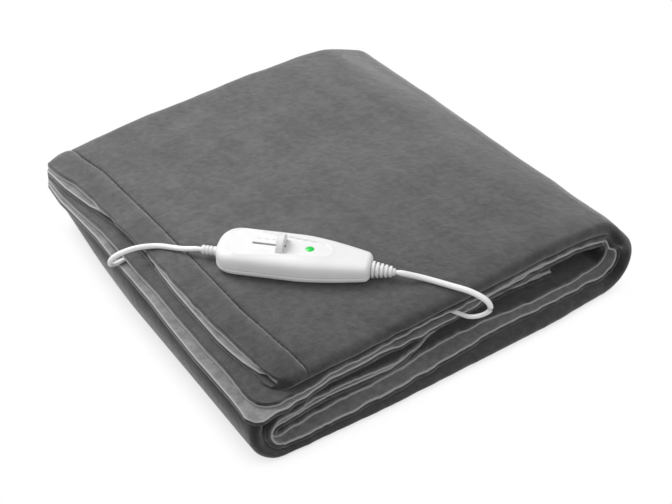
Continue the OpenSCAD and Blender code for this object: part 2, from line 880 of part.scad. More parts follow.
module connector_plug() {
    ribs = 5;
    rib_pitch = 3;
    rib_w = 1.4;
    color("#efefef") connector_frame() difference() {
        union() {
            translate([0.1, -connector_w / 2, -connector_h / 2])
                cube([plug_l - 8, connector_w, connector_h]);
            translate([-nose_size[0], -nose_size[1] / 2, -nose_size[2] / 2])
                cube([nose_size[0] + 1, nose_size[1], nose_size[2]]);
            translate([plug_l - 8, 0, 0]) rotate([0, 90, 0]) cylinder(r1 = 5, r2 = 3.6, h = 8);
            for (i = [0:ribs - 1])
                translate([8 + i * rib_pitch, -connector_w / 2 - 0.5, -connector_h / 2 + 1])
                    cube([rib_w, connector_w + 1, connector_h - 2]);
        }
        for (y = pin_rows) translate([-nose_size[0] - 1, y, 0]) rotate([0, 90, 0])
            cylinder(r = pin_r + 0.05, h = 14);
    }
}

module connector_pins() {
    color("#c9a24a") connector_frame() for (y = pin_rows) translate([-16, y, 0])
        rotate([0, 90, 0]) cylinder(r = pin_r, h = 18);
}

// ---------- Mains plug ----------

mains_pin_rows = [-9.25, 9.25];
mains_pin_r = 2;

module mains_plug_body() {
    color("#f2f2f2") translate([mains_plug_x, mains_plug_y, nest_z]) {
        difference() {
            hull() {
                translate([0, -6, -5]) cube([1, 12, 10]);
                translate([12, -mains_plug_size[1] / 2, -mains_plug_size[2] / 2])
                    cube([mains_plug_size[0] - 12, mains_plug_size[1], mains_plug_size[2]]);
            }
            for (y = mains_pin_rows) translate([26, y, 0]) rotate([0, 90, 0])
                cylinder(r = mains_pin_r + 0.05, h = 11);
        }
    }
}

module mains_plug_pins() {
    color("#c7cacd") translate([mains_plug_x, mains_plug_y, nest_z])
        for (y = mains_pin_rows) translate([27, y, 0]) rotate([0, 90, 0]) {
            cylinder(r = mains_pin_r, h = 27);
            translate([0, 0, 27]) sphere(r = mains_pin_r);
        }
}

cover_base();
cover_bend();
cover_top();
lining_base();
lining_bend();
lining_top();
carrier_base();
carrier_bend();
carrier_top();
wire_base();
wire_bend();
wire_top();
hem_stitching();
controller_top_shell();
controller_bottom_shell();
case_screws();
slider_knob();
slider_carriage();
wiper_contact();
switch_base();
detent_spring();
led_window();
led();
circuit_board();
triac();
suppression_capacitor();
fuse();
terminal_block();
strain_relief_small();
strain_relief_large();
cable_clamps();
mains_cable();
blanket_cable();
mains_leads();
blanket_leads();
socket_lower_shell();
socket_upper_shell();
socket_contacts();
connector_plug();
connector_pins();
mains_plug_body();
mains_plug_pins();
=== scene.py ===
"""Heated over-blanket, folded for storage, with its in-line slide controller on top.

The pack is one four-ply strip folded in three: a top panel, a right fold, a base
panel, a left fold and a middle panel. Every fabric point has a place in that strip
(along it, across it, and through its plies), and place() lays the strip out as it
really lies: receding edges, a swollen right fold, plies pressed over the cables.
"""

import json
import math

import bmesh
import bpy
import numpy as np
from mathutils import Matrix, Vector


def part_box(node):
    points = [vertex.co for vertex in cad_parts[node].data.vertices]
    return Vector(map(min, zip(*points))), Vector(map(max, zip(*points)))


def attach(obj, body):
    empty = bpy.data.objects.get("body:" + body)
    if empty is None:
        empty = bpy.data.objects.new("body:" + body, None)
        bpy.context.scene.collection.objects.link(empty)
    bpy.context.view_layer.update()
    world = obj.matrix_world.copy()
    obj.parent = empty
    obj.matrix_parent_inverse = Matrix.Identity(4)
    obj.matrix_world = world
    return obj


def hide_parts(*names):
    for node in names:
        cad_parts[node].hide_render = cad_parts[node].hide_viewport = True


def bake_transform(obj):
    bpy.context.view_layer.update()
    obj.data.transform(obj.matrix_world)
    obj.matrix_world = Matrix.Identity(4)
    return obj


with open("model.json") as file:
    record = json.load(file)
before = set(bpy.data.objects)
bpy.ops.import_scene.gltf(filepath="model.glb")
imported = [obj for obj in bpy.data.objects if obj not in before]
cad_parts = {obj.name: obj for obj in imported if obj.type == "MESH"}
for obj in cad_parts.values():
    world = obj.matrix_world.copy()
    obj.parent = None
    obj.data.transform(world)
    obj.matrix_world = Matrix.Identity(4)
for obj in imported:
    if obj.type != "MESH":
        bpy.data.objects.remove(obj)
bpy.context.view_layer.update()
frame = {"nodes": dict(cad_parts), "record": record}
MM = 1000.0


def box_mm(node):
    lo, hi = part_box(node)
    return np.array(lo) * MM, np.array(hi) * MM


def cad_points(node):
    mesh = frame["nodes"][node].data
    co = np.zeros(len(mesh.vertices) * 3)
    mesh.vertices.foreach_get("co", co)
    return co.reshape(-1, 3) * MM


# ---------- Sizes, from the CAD frame ----------

TOP_LO, TOP_HI = box_mm("cover_top")
BASE_LO, BASE_HI = box_mm("cover_base")
FRONT, BACK = TOP_LO[1], TOP_HI[1]
LEFT_HEM, FOLD_R = TOP_LO[0], TOP_HI[0]
TOP_Z, PACK_H = TOP_LO[2], TOP_HI[2]
STACK = PACK_H - TOP_Z
MID_TOP = BASE_HI[2]
R_LEFT = MID_TOP / 2
FOLD_L = BASE_LO[0] + R_LEFT
R_RIGHT = PACK_H / 2
_base = cad_points("cover_base")
MID_END = _base[_base[:, 2] > MID_TOP - 1][:, 0].max()

# Inside one ply, from the cover's outer face
COVER_T = 3.2
LINING_O = box_mm("lining_top")[0][2] - TOP_Z
PLY_GAP = 0.3
PLY_T = (STACK - 3 * PLY_GAP) / 4
CARRIER_O, CARRIER_T = 3.25, 0.5
CARRIER_INSET = 10
# The cover thickens at a hem until it meets the lining it is sewn to
HEM_SWELL = LINING_O - COVER_T - 0.1

HEM_Y = FRONT + 2
BACK_FOLD_Y = BACK - STACK / 2
FRONT_FOLD_R = PLY_T + PLY_GAP / 2
FRONT_FOLD_Y = FRONT + FRONT_FOLD_R
AB_AXIS = STACK - FRONT_FOLD_R
MID_AXIS = STACK / 2
NEST_Z = TOP_Z + PLY_T + PLY_GAP / 2


# ---------- Shape helpers ----------


def smooth(t):
    t = np.clip(t, 0, 1)
    return t * t * (3 - 2 * t)


def fade(d, length):
    """1 at an edge, falling to 0 at a distance of length from it."""
    return 1 - smooth(np.asarray(d) / length)


class Line:
    """A smooth curve through (position, value) pairs."""

    def __init__(self, *pairs, blur=9):
        grid = np.arange(-360, 361.0)
        raw = np.interp(grid, *zip(*pairs))
        kernel = np.exp(-0.5 * (np.arange(-4 * blur, 4 * blur + 1) / blur) ** 2)
        padded = np.pad(raw, 4 * blur, mode="edge")
        self.grid, self.values = grid, np.convolve(padded, kernel / kernel.sum(), "valid")

    def __call__(self, x):
        return np.interp(x, self.grid, self.values)


def ripple(x, y, size, seed):
    """Soft irregular waves about 0, mostly within 1, with wavelengths near size."""
    rng = np.random.RandomState(seed)
    total = 0
    for _ in range(7):
        angle, phase = rng.uniform(0, 2 * math.pi, 2)
        length = size * rng.uniform(0.6, 1.6)
        k = 2 * math.pi / length
        total = total + np.sin(k * (np.cos(angle) * x + np.sin(angle) * y) + phase)
    return total / 3


# Front lips of the plies, y against x, for each panel: d, c, and the a-b roll
FRONT_LINES = {
    "top": (
        Line((-245, -236), (-227, -237), (-179, -231), (-153, -225), (-30, -218.8), (139, -202),
             (217, -197)),
        Line((-245, -230), (-177, -228), (-150, -222), (-53, -215.6), (23, -214), (108, -205.4),
             (217, -200)),
        Line((-215, -222), (-186, -225), (0, -217), (217, -202)),
    ),
    "middle": (
        Line((-240, -224), (-196, -222.4), (-146, -215.4), (-75, -215), (-51, -209), (0, -187),
             (60, -182), (158, -182)),
        Line((-240, -224), (-196, -221.7), (-144, -212.7), (-74, -214), (-51, -212), (0, -192),
             (60, -186), (158, -184)),
        Line((-240, -217), (-100, -212), (-50, -206), (0, -196), (60, -190), (158, -188)),
    ),
    "base": (
        Line((-240, -223), (-166, -210), (-70, -208.5), (-43, -205.5), (-13, -199), (67, -196.5),
             (117, -200), (175, -197.4), (217, -192)),
        Line((-240, -227), (-82, -225), (25, -216), (56, -210.5), (138, -209), (217, -204)),
        Line((-240, -226), (-81, -227), (133, -219.7), (217, -211)),
    ),
}
# Left hems of the top panel, x against y: d, c, b, a
HEM_LINES = (
    Line((-243, -246), (-115, -240.8), (95, -228.7), (180, -230), (250, -228)),
    Line((-243, -234), (105, -223.3), (180, -226), (250, -226)),
    Line((-232, -212), (-192, -214.3), (-163, -218.5), (-128, -219.2), (-22, -214.7), (35, -208),
         (100, -208), (122, -213.4), (197, -224), (250, -225)),
    Line((-232, -206), (-121, -215), (-17, -211.6), (168, -213.2), (195, -216), (217, -221),
         (250, -222)),
)
# Corner radii of the top panel's left hem, for d, c, b, a
CORNER_R = {"front": (14, 26, 20, 20), "back": (34, 32, 24, 24)}
# How far the left fold (against y) and the back edge (against x) move from the CAD
LEFT_SHIFT = Line((-232, -1), (49, 10), (131, 17), (251, 32), blur=20)
BACK_SHIFT = Line((-230, -2), (-181, -2.5), (-91, 3), (24, 15.5), (130, 23), (190, 24), (266, 14),
                  blur=12)
# How far the right fold sags in from a true half ring, against the angle round it
FOLD_SAG = Line((-90, 0), (0, 10), (40, 18), (65, 14), (90, 7), blur=8)


def by_ply(groups, values):
    """Blend of one value per ply, by each point's share in the plies d, c, b, a."""
    return sum(g * value for g, value in zip(groups, values))


def round_corner(dx, dy, radius):
    """How far a square corner's points move in along x and y to make it round."""
    p = np.clip(radius - dx, 0, radius)
    q = np.clip(radius - dy, 0, radius)
    twice = 2 * radius * radius
    return p - p * np.sqrt(1 - q * q / twice), q - q * np.sqrt(1 - p * p / twice)


def back_share(v0):
    """Share of the back edge's shift that a point at v0 takes."""
    return np.clip((v0 - FRONT) / (BACK - FRONT), 0, 1.02) ** 1.7


def front_shift(panel, u, groups):
    """How far the front lips of a panel or fold recede at u along it."""
    d, c, ab = FRONT_LINES[panel]
    gd, gc, gb, ga = groups
    return (
        gd * (d(u) - HEM_Y) + gc * (c(u) - HEM_Y) + (ga + gb) * (ab(u) - FRONT)
    )


def edge_noise(along, groups, seed):
    """Small irregularity of a free edge, different in each ply."""
    total = 0
    for k, g in enumerate(groups):
        total = total + g * (
            0.9 * ripple(along, 0, 26, seed + 3 * k)
            + 0.45 * ripple(along, 0, 9, seed + 3 * k + 1)
        )
    return total


# ---------- Where the cables press the plies of the top panel apart ----------

CABLE_H = 2.5
MOUTH_H = 3.4
NEST_SOFT = 9  # length over which a nest's edges slope
LEVEL_H = 2.6  # half height that the plies take without sinking
MOST_DROP = 9
NESTS = [  # x1, x2, y1, y2, half height
    (-245, -176, 42, 58, CABLE_H),
    (-245, -214, 40, 60, MOUTH_H),
    (-176, 49, 46, 194, CABLE_H),
    (50, 127, 58, 92, 7.3),
    (-163, -51, -163, -137, 6.6),
    (-70, 25, -240, -140, CABLE_H),
    (-14, 32, -245, -212, MOUTH_H),
]


def nest_half(x, y):
    """Half height of the opening between plies c and d."""
    total = 0
    for x1, x2, y1, y2, h in NESTS:
        inside = (
            smooth((x - x1) / NEST_SOFT + 1) * smooth((x2 - x) / NEST_SOFT + 1)
            * smooth((y - y1) / NEST_SOFT + 1) * smooth((y2 - y) / NEST_SOFT + 1)
        )
        total = np.maximum(total, h * inside)
    return total


def nest_drop(x, y):
    """How far the plies under a thick connector sink."""
    return np.clip((nest_half(x, y) - LEVEL_H) * 0.95, 0, MOST_DROP)


# ---------- The lie of the strip ----------

QUIET_X, QUIET_Y, QUIET_TURN = -160, -32, math.radians(44.8)


def quiet(x, y):
    """0 where the controller and its cables lie, so that the cover stays flat there."""
    dx, dy = x - QUIET_X, y - QUIET_Y
    along = dx * math.cos(QUIET_TURN) - dy * math.sin(QUIET_TURN)
    across = dx * math.sin(QUIET_TURN) + dy * math.cos(QUIET_TURN)
    inside = smooth((along + 80) / 45) * smooth((245 - along) / 45) * fade(np.abs(across) - 24, 38)
    return 1 - inside


BACK_RISE = 8


def right_drop(x):
    """The top panel sinks a little towards the right fold."""
    return -FOLD_SAG(90.0) * np.clip((x - 150) / (FOLD_R - 150), 0, 1) ** 2


def top_rise(x, y):
    """Height of the top surface above its CAD level."""
    back = BACK_RISE * smooth((y - 30) / 210) * smooth((x + 235) / 150) * fade(x - 160, 60)
    waves = 0.9 * ripple(x, y, 130, 5) + 0.45 * ripple(x, y, 60, 8)
    left_drop = -4.5 * fade(y - FRONT, 90) * fade(x + 232, 190)
    back_left = -1.5 * fade(BACK - y, 90) * fade(x + 232, 150)
    return right_drop(x) + back + (waves + 0.2) * quiet(x, y) + left_drop + back_left


def front_shoulder(v0):
    """How far the top cover rounds down to the front edge."""
    return 2.2 * fade(v0 - FRONT, 30)


def void_half(x, y):
    """Half height of the teardrop opening inside the left fold."""
    return 4.6 * smooth((-58 - x) / 120) * fade(y - FRONT, 190)


def along_panel(panel, x0, v0, groups):
    """World x of strip points, from their level CAD place."""
    x = x0 + 0.0 * v0
    if panel == "top":
        y_there = v0 + BACK_SHIFT(LEFT_HEM) * back_share(v0)
        target = by_ply(groups, [line(y_there) for line in HEM_LINES])
        from_hem = x0 - LEFT_HEM
        x = x + (target - LEFT_HEM) * fade(from_hem, 130)
        front_r, back_r = (by_ply(groups, CORNER_R[end]) for end in ("front", "back"))
        start = by_ply(groups, (HEM_Y, HEM_Y, FRONT, FRONT))
        x = x + round_corner(from_hem, v0 - start, front_r)[0]
        x = x + round_corner(from_hem, BACK - v0, back_r)[0]
        x = x + edge_noise(v0, groups, 40) * fade(from_hem, 14)
    if panel == "middle":
        end = MID_END - x0
        x = x + edge_noise(v0, groups, 60) * 2 * fade(end, 20)
    left_end = FOLD_L - R_LEFT
    if panel in ("middle", "base", "left"):
        x = x + LEFT_SHIFT(v0) * fade(x0 - left_end, 250)
    return x


EDGE_SEED = {"top": 100, "right": 90, "base": 90, "left": 80, "middle": 80}
# The panel that each fold leads up to from the base
PANEL_ABOVE = {"left": "middle", "right": "top"}


def across_panel(panel, x, x0, v0, groups, mix=None):
    """World y, with receding front lips and the skewed back edge. Round a fold, mix
    goes from 0 at the base to 1 at the panel above."""
    gd, gc, gb, ga = groups
    if panel in PANEL_ABOVE:
        low = front_shift("base", x, groups)
        high = front_shift(PANEL_ABOVE[panel], x, groups)
        shift = low + (high - low) * mix
    else:
        shift = front_shift(panel, x, groups)
    from_front = v0 - FRONT
    y = v0 + shift * fade(from_front, 130)
    if panel == "top":
        from_hem = x0 - LEFT_HEM
        front_r, back_r = (by_ply(groups, CORNER_R[end]) for end in ("front", "back"))
        start = by_ply(groups, (HEM_Y, HEM_Y, FRONT, FRONT))
        y = y + round_corner(from_hem, v0 - start, front_r)[1]
        y = y - round_corner(from_hem, BACK - v0, back_r)[1]
    loose = gd + gc + 0.35 * (ga + gb)
    y = y + edge_noise(x, groups, EDGE_SEED[panel]) * loose * fade(from_front, 14)
    return y + BACK_SHIFT(x) * back_share(v0)


def press(x, y, z, z_low, z_high, groups):
    """Opens the gap between plies c and d over what lies in it."""
    half = nest_half(x, y)
    drop = nest_drop(x, y)
    gd = groups[0]
    up = z_high - (z_high - z) * (z_high - NEST_Z - half) / (z_high - NEST_Z)
    low = z_low - drop
    down = low + (z - z_low) * (NEST_Z - half - low) / (NEST_Z - z_low)
    return np.where(gd > 0.5, down, up)


def place_top(s, v0, w, groups):
    x = along_panel("top", s, v0, groups)
    y = across_panel("top", x, s, v0, groups)
    hem_shoulder = 2.4 * fade(s - LEFT_HEM - 4, 24)
    low = TOP_Z + right_drop(x)
    high = PACK_H + top_rise(x, y) - front_shoulder(v0) - hem_shoulder
    z = low + (high - low) * w / STACK
    z = press(x, y, z, low, high, groups)
    return x, y, z + hem_wave(x, v0, groups, s)


# How the back corner of the right fold draws in, and over what length
FOLD_DRAW, FOLD_CORNER = 12, 40


def place_right(s, v0, w, groups):
    """Round the right fold, s is the angle from 90 (top) to -90 (base)."""
    a = np.radians(s)
    sag_in = FOLD_SAG(s) + 0 * v0
    y_seam = across_panel("top", FOLD_R, FOLD_R, v0, groups)
    rise = top_rise(FOLD_R, y_seam) + FOLD_SAG(90.0) - front_shoulder(v0)
    corner = np.clip((v0 - BACK) / FOLD_CORNER + 1, 0, 1)
    shrink = FOLD_DRAW * (1 - np.sqrt(1 - corner**2 * 0.999)) + 3 * fade(v0 - FRONT, 26) ** 2
    inner = R_RIGHT - STACK - sag_in
    outer = R_RIGHT - sag_in + rise * smooth((s + 35) / 125)
    r = inner + (outer - inner) * w / STACK
    # keep the floor and the seams exact, and draw the side in at the corners
    side = np.cos(a) ** 2
    x = FOLD_R + (r - shrink * w / STACK * side) * np.cos(a)
    y = across_panel("right", np.minimum(x, FOLD_R + 60), s, v0, groups, smooth((s - 24) / 66))
    return x, y, R_RIGHT + r * np.sin(a)


def place_base(s, v0, w, groups):
    x = along_panel("base", s, v0, groups)
    y = across_panel("base", x, s, v0, groups)
    top = STACK - void_half(x, y)
    return x, y, top * (1 - sag(x, v0, w) / STACK)


def place_left(s, v0, w, groups):
    """Round the left fold, s is the angle from -90 (base) to 90 (middle)."""
    a = np.radians(s)
    hole = R_LEFT - STACK + void_half(np.full_like(v0 + 0.0 * s, FOLD_L), v0)
    r = hole + (R_LEFT - hole) * w / STACK
    x0 = FOLD_L - r * np.cos(a)
    x = x0 + LEFT_SHIFT(v0) * fade(x0 - FOLD_L + R_LEFT, 250)
    y = across_panel("left", x, s, v0, groups, smooth((s + 90) / 180))
    return x, y, R_LEFT + r * np.sin(a)


def place_middle(s, v0, w, groups):
    x = along_panel("middle", s, v0, groups)
    y = across_panel("middle", x, s, v0, groups)
    low = MID_TOP - STACK + void_half(x, y)
    high = MID_TOP - nest_drop(x, y)
    return x, y, low + (high - low) * w / STACK


def place(section, s, v0, w, groups):
    """World point (mm) of strip points. s is x on a panel, and an angle round a fold."""
    return np.stack(PLACE_IN[section](s, v0, w, groups), -1)


PLACE_IN = {
    "top": place_top, "right": place_right, "base": place_base, "left": place_left,
    "middle": place_middle,
}


def sag(x, v0, w):
    """Offset w in the base panel, with ply c drooping over the roll at the front."""
    droop = 3.2 * fade(v0 - FRONT, 34) * smooth((40 - x) / 120)
    knee = 12.0
    return np.where(w < knee, w * (knee + droop) / knee,
                    STACK - (STACK - w) * (STACK - knee - droop) / (STACK - knee))


def hem_wave(x, v0, groups, s):
    """Slow rise and fall of the loose lower plies along the left hem and the front."""
    edge = np.maximum(fade(s - LEFT_HEM, 30), fade(v0 - FRONT, 26))
    return edge * sum(groups[:3]) * 0.5 * ripple(x + v0, 0, 70, 17)


# ---------- The four-ply profile ----------


def spaced(*stops):
    """Positions from stops given as (end, step) pairs, starting at 0."""
    at, out = 0.0, [0.0]
    for end, step in stops:
        n = max(1, round((end - at) / step))
        out += list(at + (end - at) * (np.arange(n) + 1) / n)
        at = end
    return np.array(out)


FAR = 99.0  # distance given to points away from any free edge
RIM = [0.0, 0.12, 0.45, 0.95, 1.6]
HIDDEN_RUN = BACK_FOLD_Y - HEM_Y
FINE_HEM = np.concatenate([RIM, 1.6 + spaced((5.4, 1.8), (16, 3.2), (44, 7), (120, 20),
                                             (HIDDEN_RUN - 1.6, 44))[1:]])
ROLL_RUN = BACK_FOLD_Y - FRONT_FOLD_Y
B_RUN = spaced((24, 6), (90, 22), (ROLL_RUN, 48))
A_RUN = spaced((60, 5), (ROLL_RUN - 40, 8.5), (ROLL_RUN, 5))
BACK_TURN = np.linspace(-90, 90, 15)
FRONT_TURN = np.linspace(90, 270, 13)


def profile(o):
    """Points of the ply mid-line at offset o from the cover's outer face.

    Returns y, w, the outward normal, the ply weights d, c, b, a, and the distance
    from a free edge."""
    rows = []

    def add(y, w, ny, nw, d=0, c=0, b=0, a=0, free=FAR):
        n = len(np.atleast_1d(y + 0 * w))
        rows.append([np.broadcast_to(np.asarray(q, float), n) for q in
                     (y, w, ny, nw, d, c, b, a, free)])

    add(HEM_Y + FINE_HEM, o + 0 * FINE_HEM, 0, -1, d=1, free=FINE_HEM)
    t = np.radians(BACK_TURN[1:-1])
    r, k = MID_AXIS - o, smooth((BACK_TURN[1:-1] + 90) / 180)
    add(BACK_FOLD_Y + r * np.cos(t), MID_AXIS + r * np.sin(t), np.cos(t), np.sin(t), d=1 - k, a=k)
    back_to_front = FRONT_FOLD_Y + A_RUN[::-1]
    add(back_to_front, STACK - o + 0 * back_to_front, 0, 1, a=1)
    t = np.radians(FRONT_TURN[1:-1])
    r, k = FRONT_FOLD_R - o, smooth((FRONT_TURN[1:-1] - 90) / 180)
    add(FRONT_FOLD_Y + r * np.cos(t), AB_AXIS + r * np.sin(t), np.cos(t), np.sin(t), a=1 - k, b=k)
    add(FRONT_FOLD_Y + B_RUN, MID_AXIS + PLY_GAP / 2 + o + 0 * B_RUN, 0, -1, b=1)
    turn = np.linspace(90, -90, 9)[1:-1]
    t = np.radians(turn)
    r, k = PLY_GAP / 2 + o, smooth((90 - turn) / 180)
    add(BACK_FOLD_Y + r * np.cos(t), MID_AXIS + r * np.sin(t), -np.cos(t), -np.sin(t),
        b=1 - k, c=k)
    hem = FINE_HEM[::-1]
    add(HEM_Y + hem, MID_AXIS - PLY_GAP / 2 - o + 0 * hem, 0, 1, c=1, free=hem)
    return [np.concatenate([row[i] for row in rows]) for i in range(9)]


SEAM_S = LEFT_HEM + 36
STITCH_L, STITCH_PITCH = 5.0, 7.5
TOP_ROWS = LEFT_HEM + np.concatenate([
    RIM, 1.6 + spaced((32, 2.2), (37, 0.4), (58, 3), (FOLD_R - LEFT_HEM - 1.6, 4.6))[1:]])
RIGHT_ROWS = np.linspace(90, -90, 33)
BASE_ROWS = FOLD_R - spaced((FOLD_R - FOLD_L - 60, 4.6), (FOLD_R - FOLD_L, 3.2))
LEFT_ROWS = np.linspace(-90, 90, 25)
MIDDLE_ROWS = FOLD_L + np.concatenate([
    spaced((60, 3.2), (MID_END - FOLD_L - 20, 4.8), (MID_END - FOLD_L - 1.6, 2.5)),
    MID_END - FOLD_L - np.array(RIM[::-1][1:])])

SECTIONS = {
    "top": [("top", TOP_ROWS)],
    "bend": [("right", RIGHT_ROWS)],
    "base": [("base", BASE_ROWS), ("left", LEFT_ROWS[1:-1]), ("middle", MIDDLE_ROWS)],
}


def seam_dip(s, v0):
    """Depth of the hem seam in the cover, drawn in a little more at each stitch."""
    d = np.abs(s - SEAM_S)
    per_stitch = 1.25 + 0.25 * np.cos(2 * math.pi * v0 / STITCH_PITCH)
    groove = np.exp(-((d / 1.5) ** 2)) * per_stitch
    dimple = 0.7 * np.exp(-((d / 6.0) ** 2)) * (0.6 + 0.4 * ripple(v0, 0, 18, 31))
    band = -0.7 * smooth((SEAM_S - s) / 5) * smooth((s - LEFT_HEM - 2) / 9)
    return groove + dimple + band


def rounded(free, half):
    """Half thickness near a free edge, so that the rim is round."""
    t = np.clip(free / 1.6, 0, 1)
    return half * np.sqrt(np.clip(1 - (1 - t) ** 2, 0, 1))


def end_inset(section, layer, y, groups, end):
    """How far along the strip a layer is drawn in from the end of its section."""
    if layer == "lining" and section == "top":
        # hidden at the front corner and along the middle of the hem
        corner = 9 * smooth((-196 - y) / 9)
        middle = 6 * smooth((y - 22) / 12) * smooth((112 - y) / 12)
        return (groups[2] + groups[3]) * (corner + middle) * fade(end, 30)
    inset = CARRIER_INSET if layer == "carrier" else 0
    return inset * fade(end, 60) * (1 if section == "top" else -1)


def slab(part, layer, o1, o2):
    """Both faces of a fabric layer over one part of the strip, the distance of each
    point from the layer's free edges, and each point's angle round the right fold."""
    y, w, ny, nw, gd, gc, gb, ga, free = profile((o1 + o2) / 2)
    groups = (gd, gc, gb, ga)
    half = (o2 - o1) / 2
    inset = CARRIER_INSET if layer == "carrier" else 0
    y = y + inset * (free < FAR) * fade(free, 60)
    points, edges, angles = {1: [], -1: []}, [], []
    for section, rows in SECTIONS[part]:
        for s in rows:
            end = {"top": s - LEFT_HEM, "middle": MID_END - s}.get(section, FAR)
            draw_in = end_inset(section, layer, y, groups, end)
            near = np.minimum(free, end)
            h = np.minimum(rounded(free, half), rounded(np.full_like(free, end), half))
            seamed = section == "top" and layer == "cover"
            dip = seam_dip(s, y) * (ga > 0.5) if seamed else 0
            for side in (1, -1):
                sink = dip if side == 1 else 0.35 * dip
                depth = h
                if side == -1 and layer == "cover":
                    depth = h + HEM_SWELL * fade(near, 9) * (h > 0.01)
                pos = place(section, s + draw_in, y + side * depth * ny,
                            w + side * depth * nw - sink, groups)
                points[side].append(pos)
            edges.append(near)
            angles.append(np.full(len(y), s if section == "right" else 0.0))
    return np.array(points[1]), np.array(points[-1]), np.array(edges), np.array(angles)


def grid_faces(rows, cols, start, flip):
    i, j = np.meshgrid(np.arange(rows - 1), np.arange(cols - 1), indexing="ij")
    a = start + i * cols + j
    quad = np.stack([a, a + 1, a + cols + 1, a + cols], -1).reshape(-1, 4)
    return quad[:, ::-1] if flip else quad


def new_object(name, points_mm, faces, smooth_shade=True):
    mesh = bpy.data.meshes.new(name)
    mesh.from_pydata((np.asarray(points_mm) / MM).tolist(), [], [list(map(int, f)) for f in faces])
    mesh.update()
    if smooth_shade:
        mesh.polygons.foreach_set("use_smooth", [True] * len(mesh.polygons))
    obj = bpy.data.objects.new(name, mesh)
    bpy.context.scene.collection.objects.link(obj)
    return obj


def float_attribute(obj, name, values):
    attribute = obj.data.attributes.new(name, "FLOAT", "POINT")
    attribute.data.foreach_set("value", np.asarray(values, np.float32).ravel())


def edit_mesh(obj, edit):
    bm = bmesh.new()
    bm.from_mesh(obj.data)
    edit(bm)
    bm.to_mesh(obj.data)
    bm.free()
    obj.data.update()


def merge_rims(obj):
    edit_mesh(obj, lambda bm: bmesh.ops.remove_doubles(bm, verts=bm.verts, dist=2e-6))


def fabric_piece(name, part, layer, o1, o2):
    outer, inner, edges, angles = slab(part, layer, o1, o2)
    rows, cols = outer.shape[:2]
    count = rows * cols
    # the rows of the top run +x, those of the base run back: keep the faces outwards
    flip = part == "top"
    faces = np.concatenate([
        grid_faces(rows, cols, 0, flip), grid_faces(rows, cols, count, not flip)])
    points = np.concatenate([outer.reshape(-1, 3), inner.reshape(-1, 3)])
    obj = new_object(name, points, faces)
    float_attribute(obj, "edge_mm", np.concatenate([edges.ravel(), edges.ravel()]))
    if part == "bend":
        turn = smooth((np.concatenate([angles.ravel(), angles.ravel()]) + 90) / 180)
        float_attribute(obj, "turn_share", turn)
    merge_rims(obj)
    return obj


def follow(obj):
    """Bakes a piece's placement into its mesh and reads its own turn_share attribute."""
    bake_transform(obj)
    share = np.zeros(len(obj.data.vertices), np.float32)
    obj.data.attributes["turn_share"].data.foreach_get("value", share)


def follow_fold(obj):
    """A piece of the right fold, between base and top panel: follow() bakes its placement into its
    mesh."""
    follow(obj)


BODY_OF = {"top": "top_panel", "base": "base"}


# ---------- Materials ----------


def new_material(name):
    material = bpy.data.materials.new(name)
    material.use_nodes = True
    tree = material.node_tree
    shader = tree.nodes["Principled BSDF"]
    return material, tree, shader


def node(tree, kind, **values):
    """A new shader node. Each value sets the input of its name, or else the property."""
    made = tree.nodes.new(kind)
    for key, value in values.items():
        if key in made.inputs:
            made.inputs[key].default_value = value
        else:
            setattr(made, key, value)
    return made


def noise(tree, coords, scale, detail=3.0, rough=0.55):
    made = node(tree, "ShaderNodeTexNoise", Scale=scale, Detail=detail, Roughness=rough)
    tree.links.new(coords, made.inputs["Vector"])
    return made.outputs["Fac"]


def mix_color(tree, fac, a, b, blend="MIX"):
    made = node(tree, "ShaderNodeMix", data_type="RGBA", blend_type=blend)
    for socket, value in ((made.inputs[6], a), (made.inputs[7], b)):
        if isinstance(value, (tuple, list)):
            socket.default_value = (*value, 1)
        else:
            tree.links.new(value, socket)
    if isinstance(fac, float):
        made.inputs[0].default_value = fac
    else:
        tree.links.new(fac, made.inputs[0])
    return made.outputs[2]


def ramp(tree, value, low, high, out_low=0.0, out_high=1.0):
    made = node(tree, "ShaderNodeMapRange", interpolation_type="SMOOTHSTEP")
    for key, number in (("From Min", low), ("From Max", high), ("To Min", out_low),
                        ("To Max", out_high)):
        made.inputs[key].default_value = number
    tree.links.new(value, made.inputs["Value"])
    return made.outputs["Result"]


def object_coords(tree):
    return node(tree, "ShaderNodeTexCoord").outputs["Object"]


def add_heights(tree, *parts):
    """Sum of the values, each times its gain."""
    total = None
    for value, gain in parts:
        made = node(tree, "ShaderNodeMath", operation="MULTIPLY_ADD")
        tree.links.new(value, made.inputs[0])
        made.inputs[1].default_value, made.inputs[2].default_value = gain, 0
        if total is not None:
            tree.links.new(total, made.inputs[2])
        total = made.outputs[0]
    return total


def bump(tree, shader, height, strength, distance):
    made = node(tree, "ShaderNodeBump", Strength=strength, Distance=distance)
    tree.links.new(height, made.inputs["Height"])
    tree.links.new(made.outputs["Normal"], shader.inputs["Normal"])


# Direction that cover faces turn towards to get painted shade
PAINTED_SHADE_FACING = (-0.93, -0.25, -0.27)


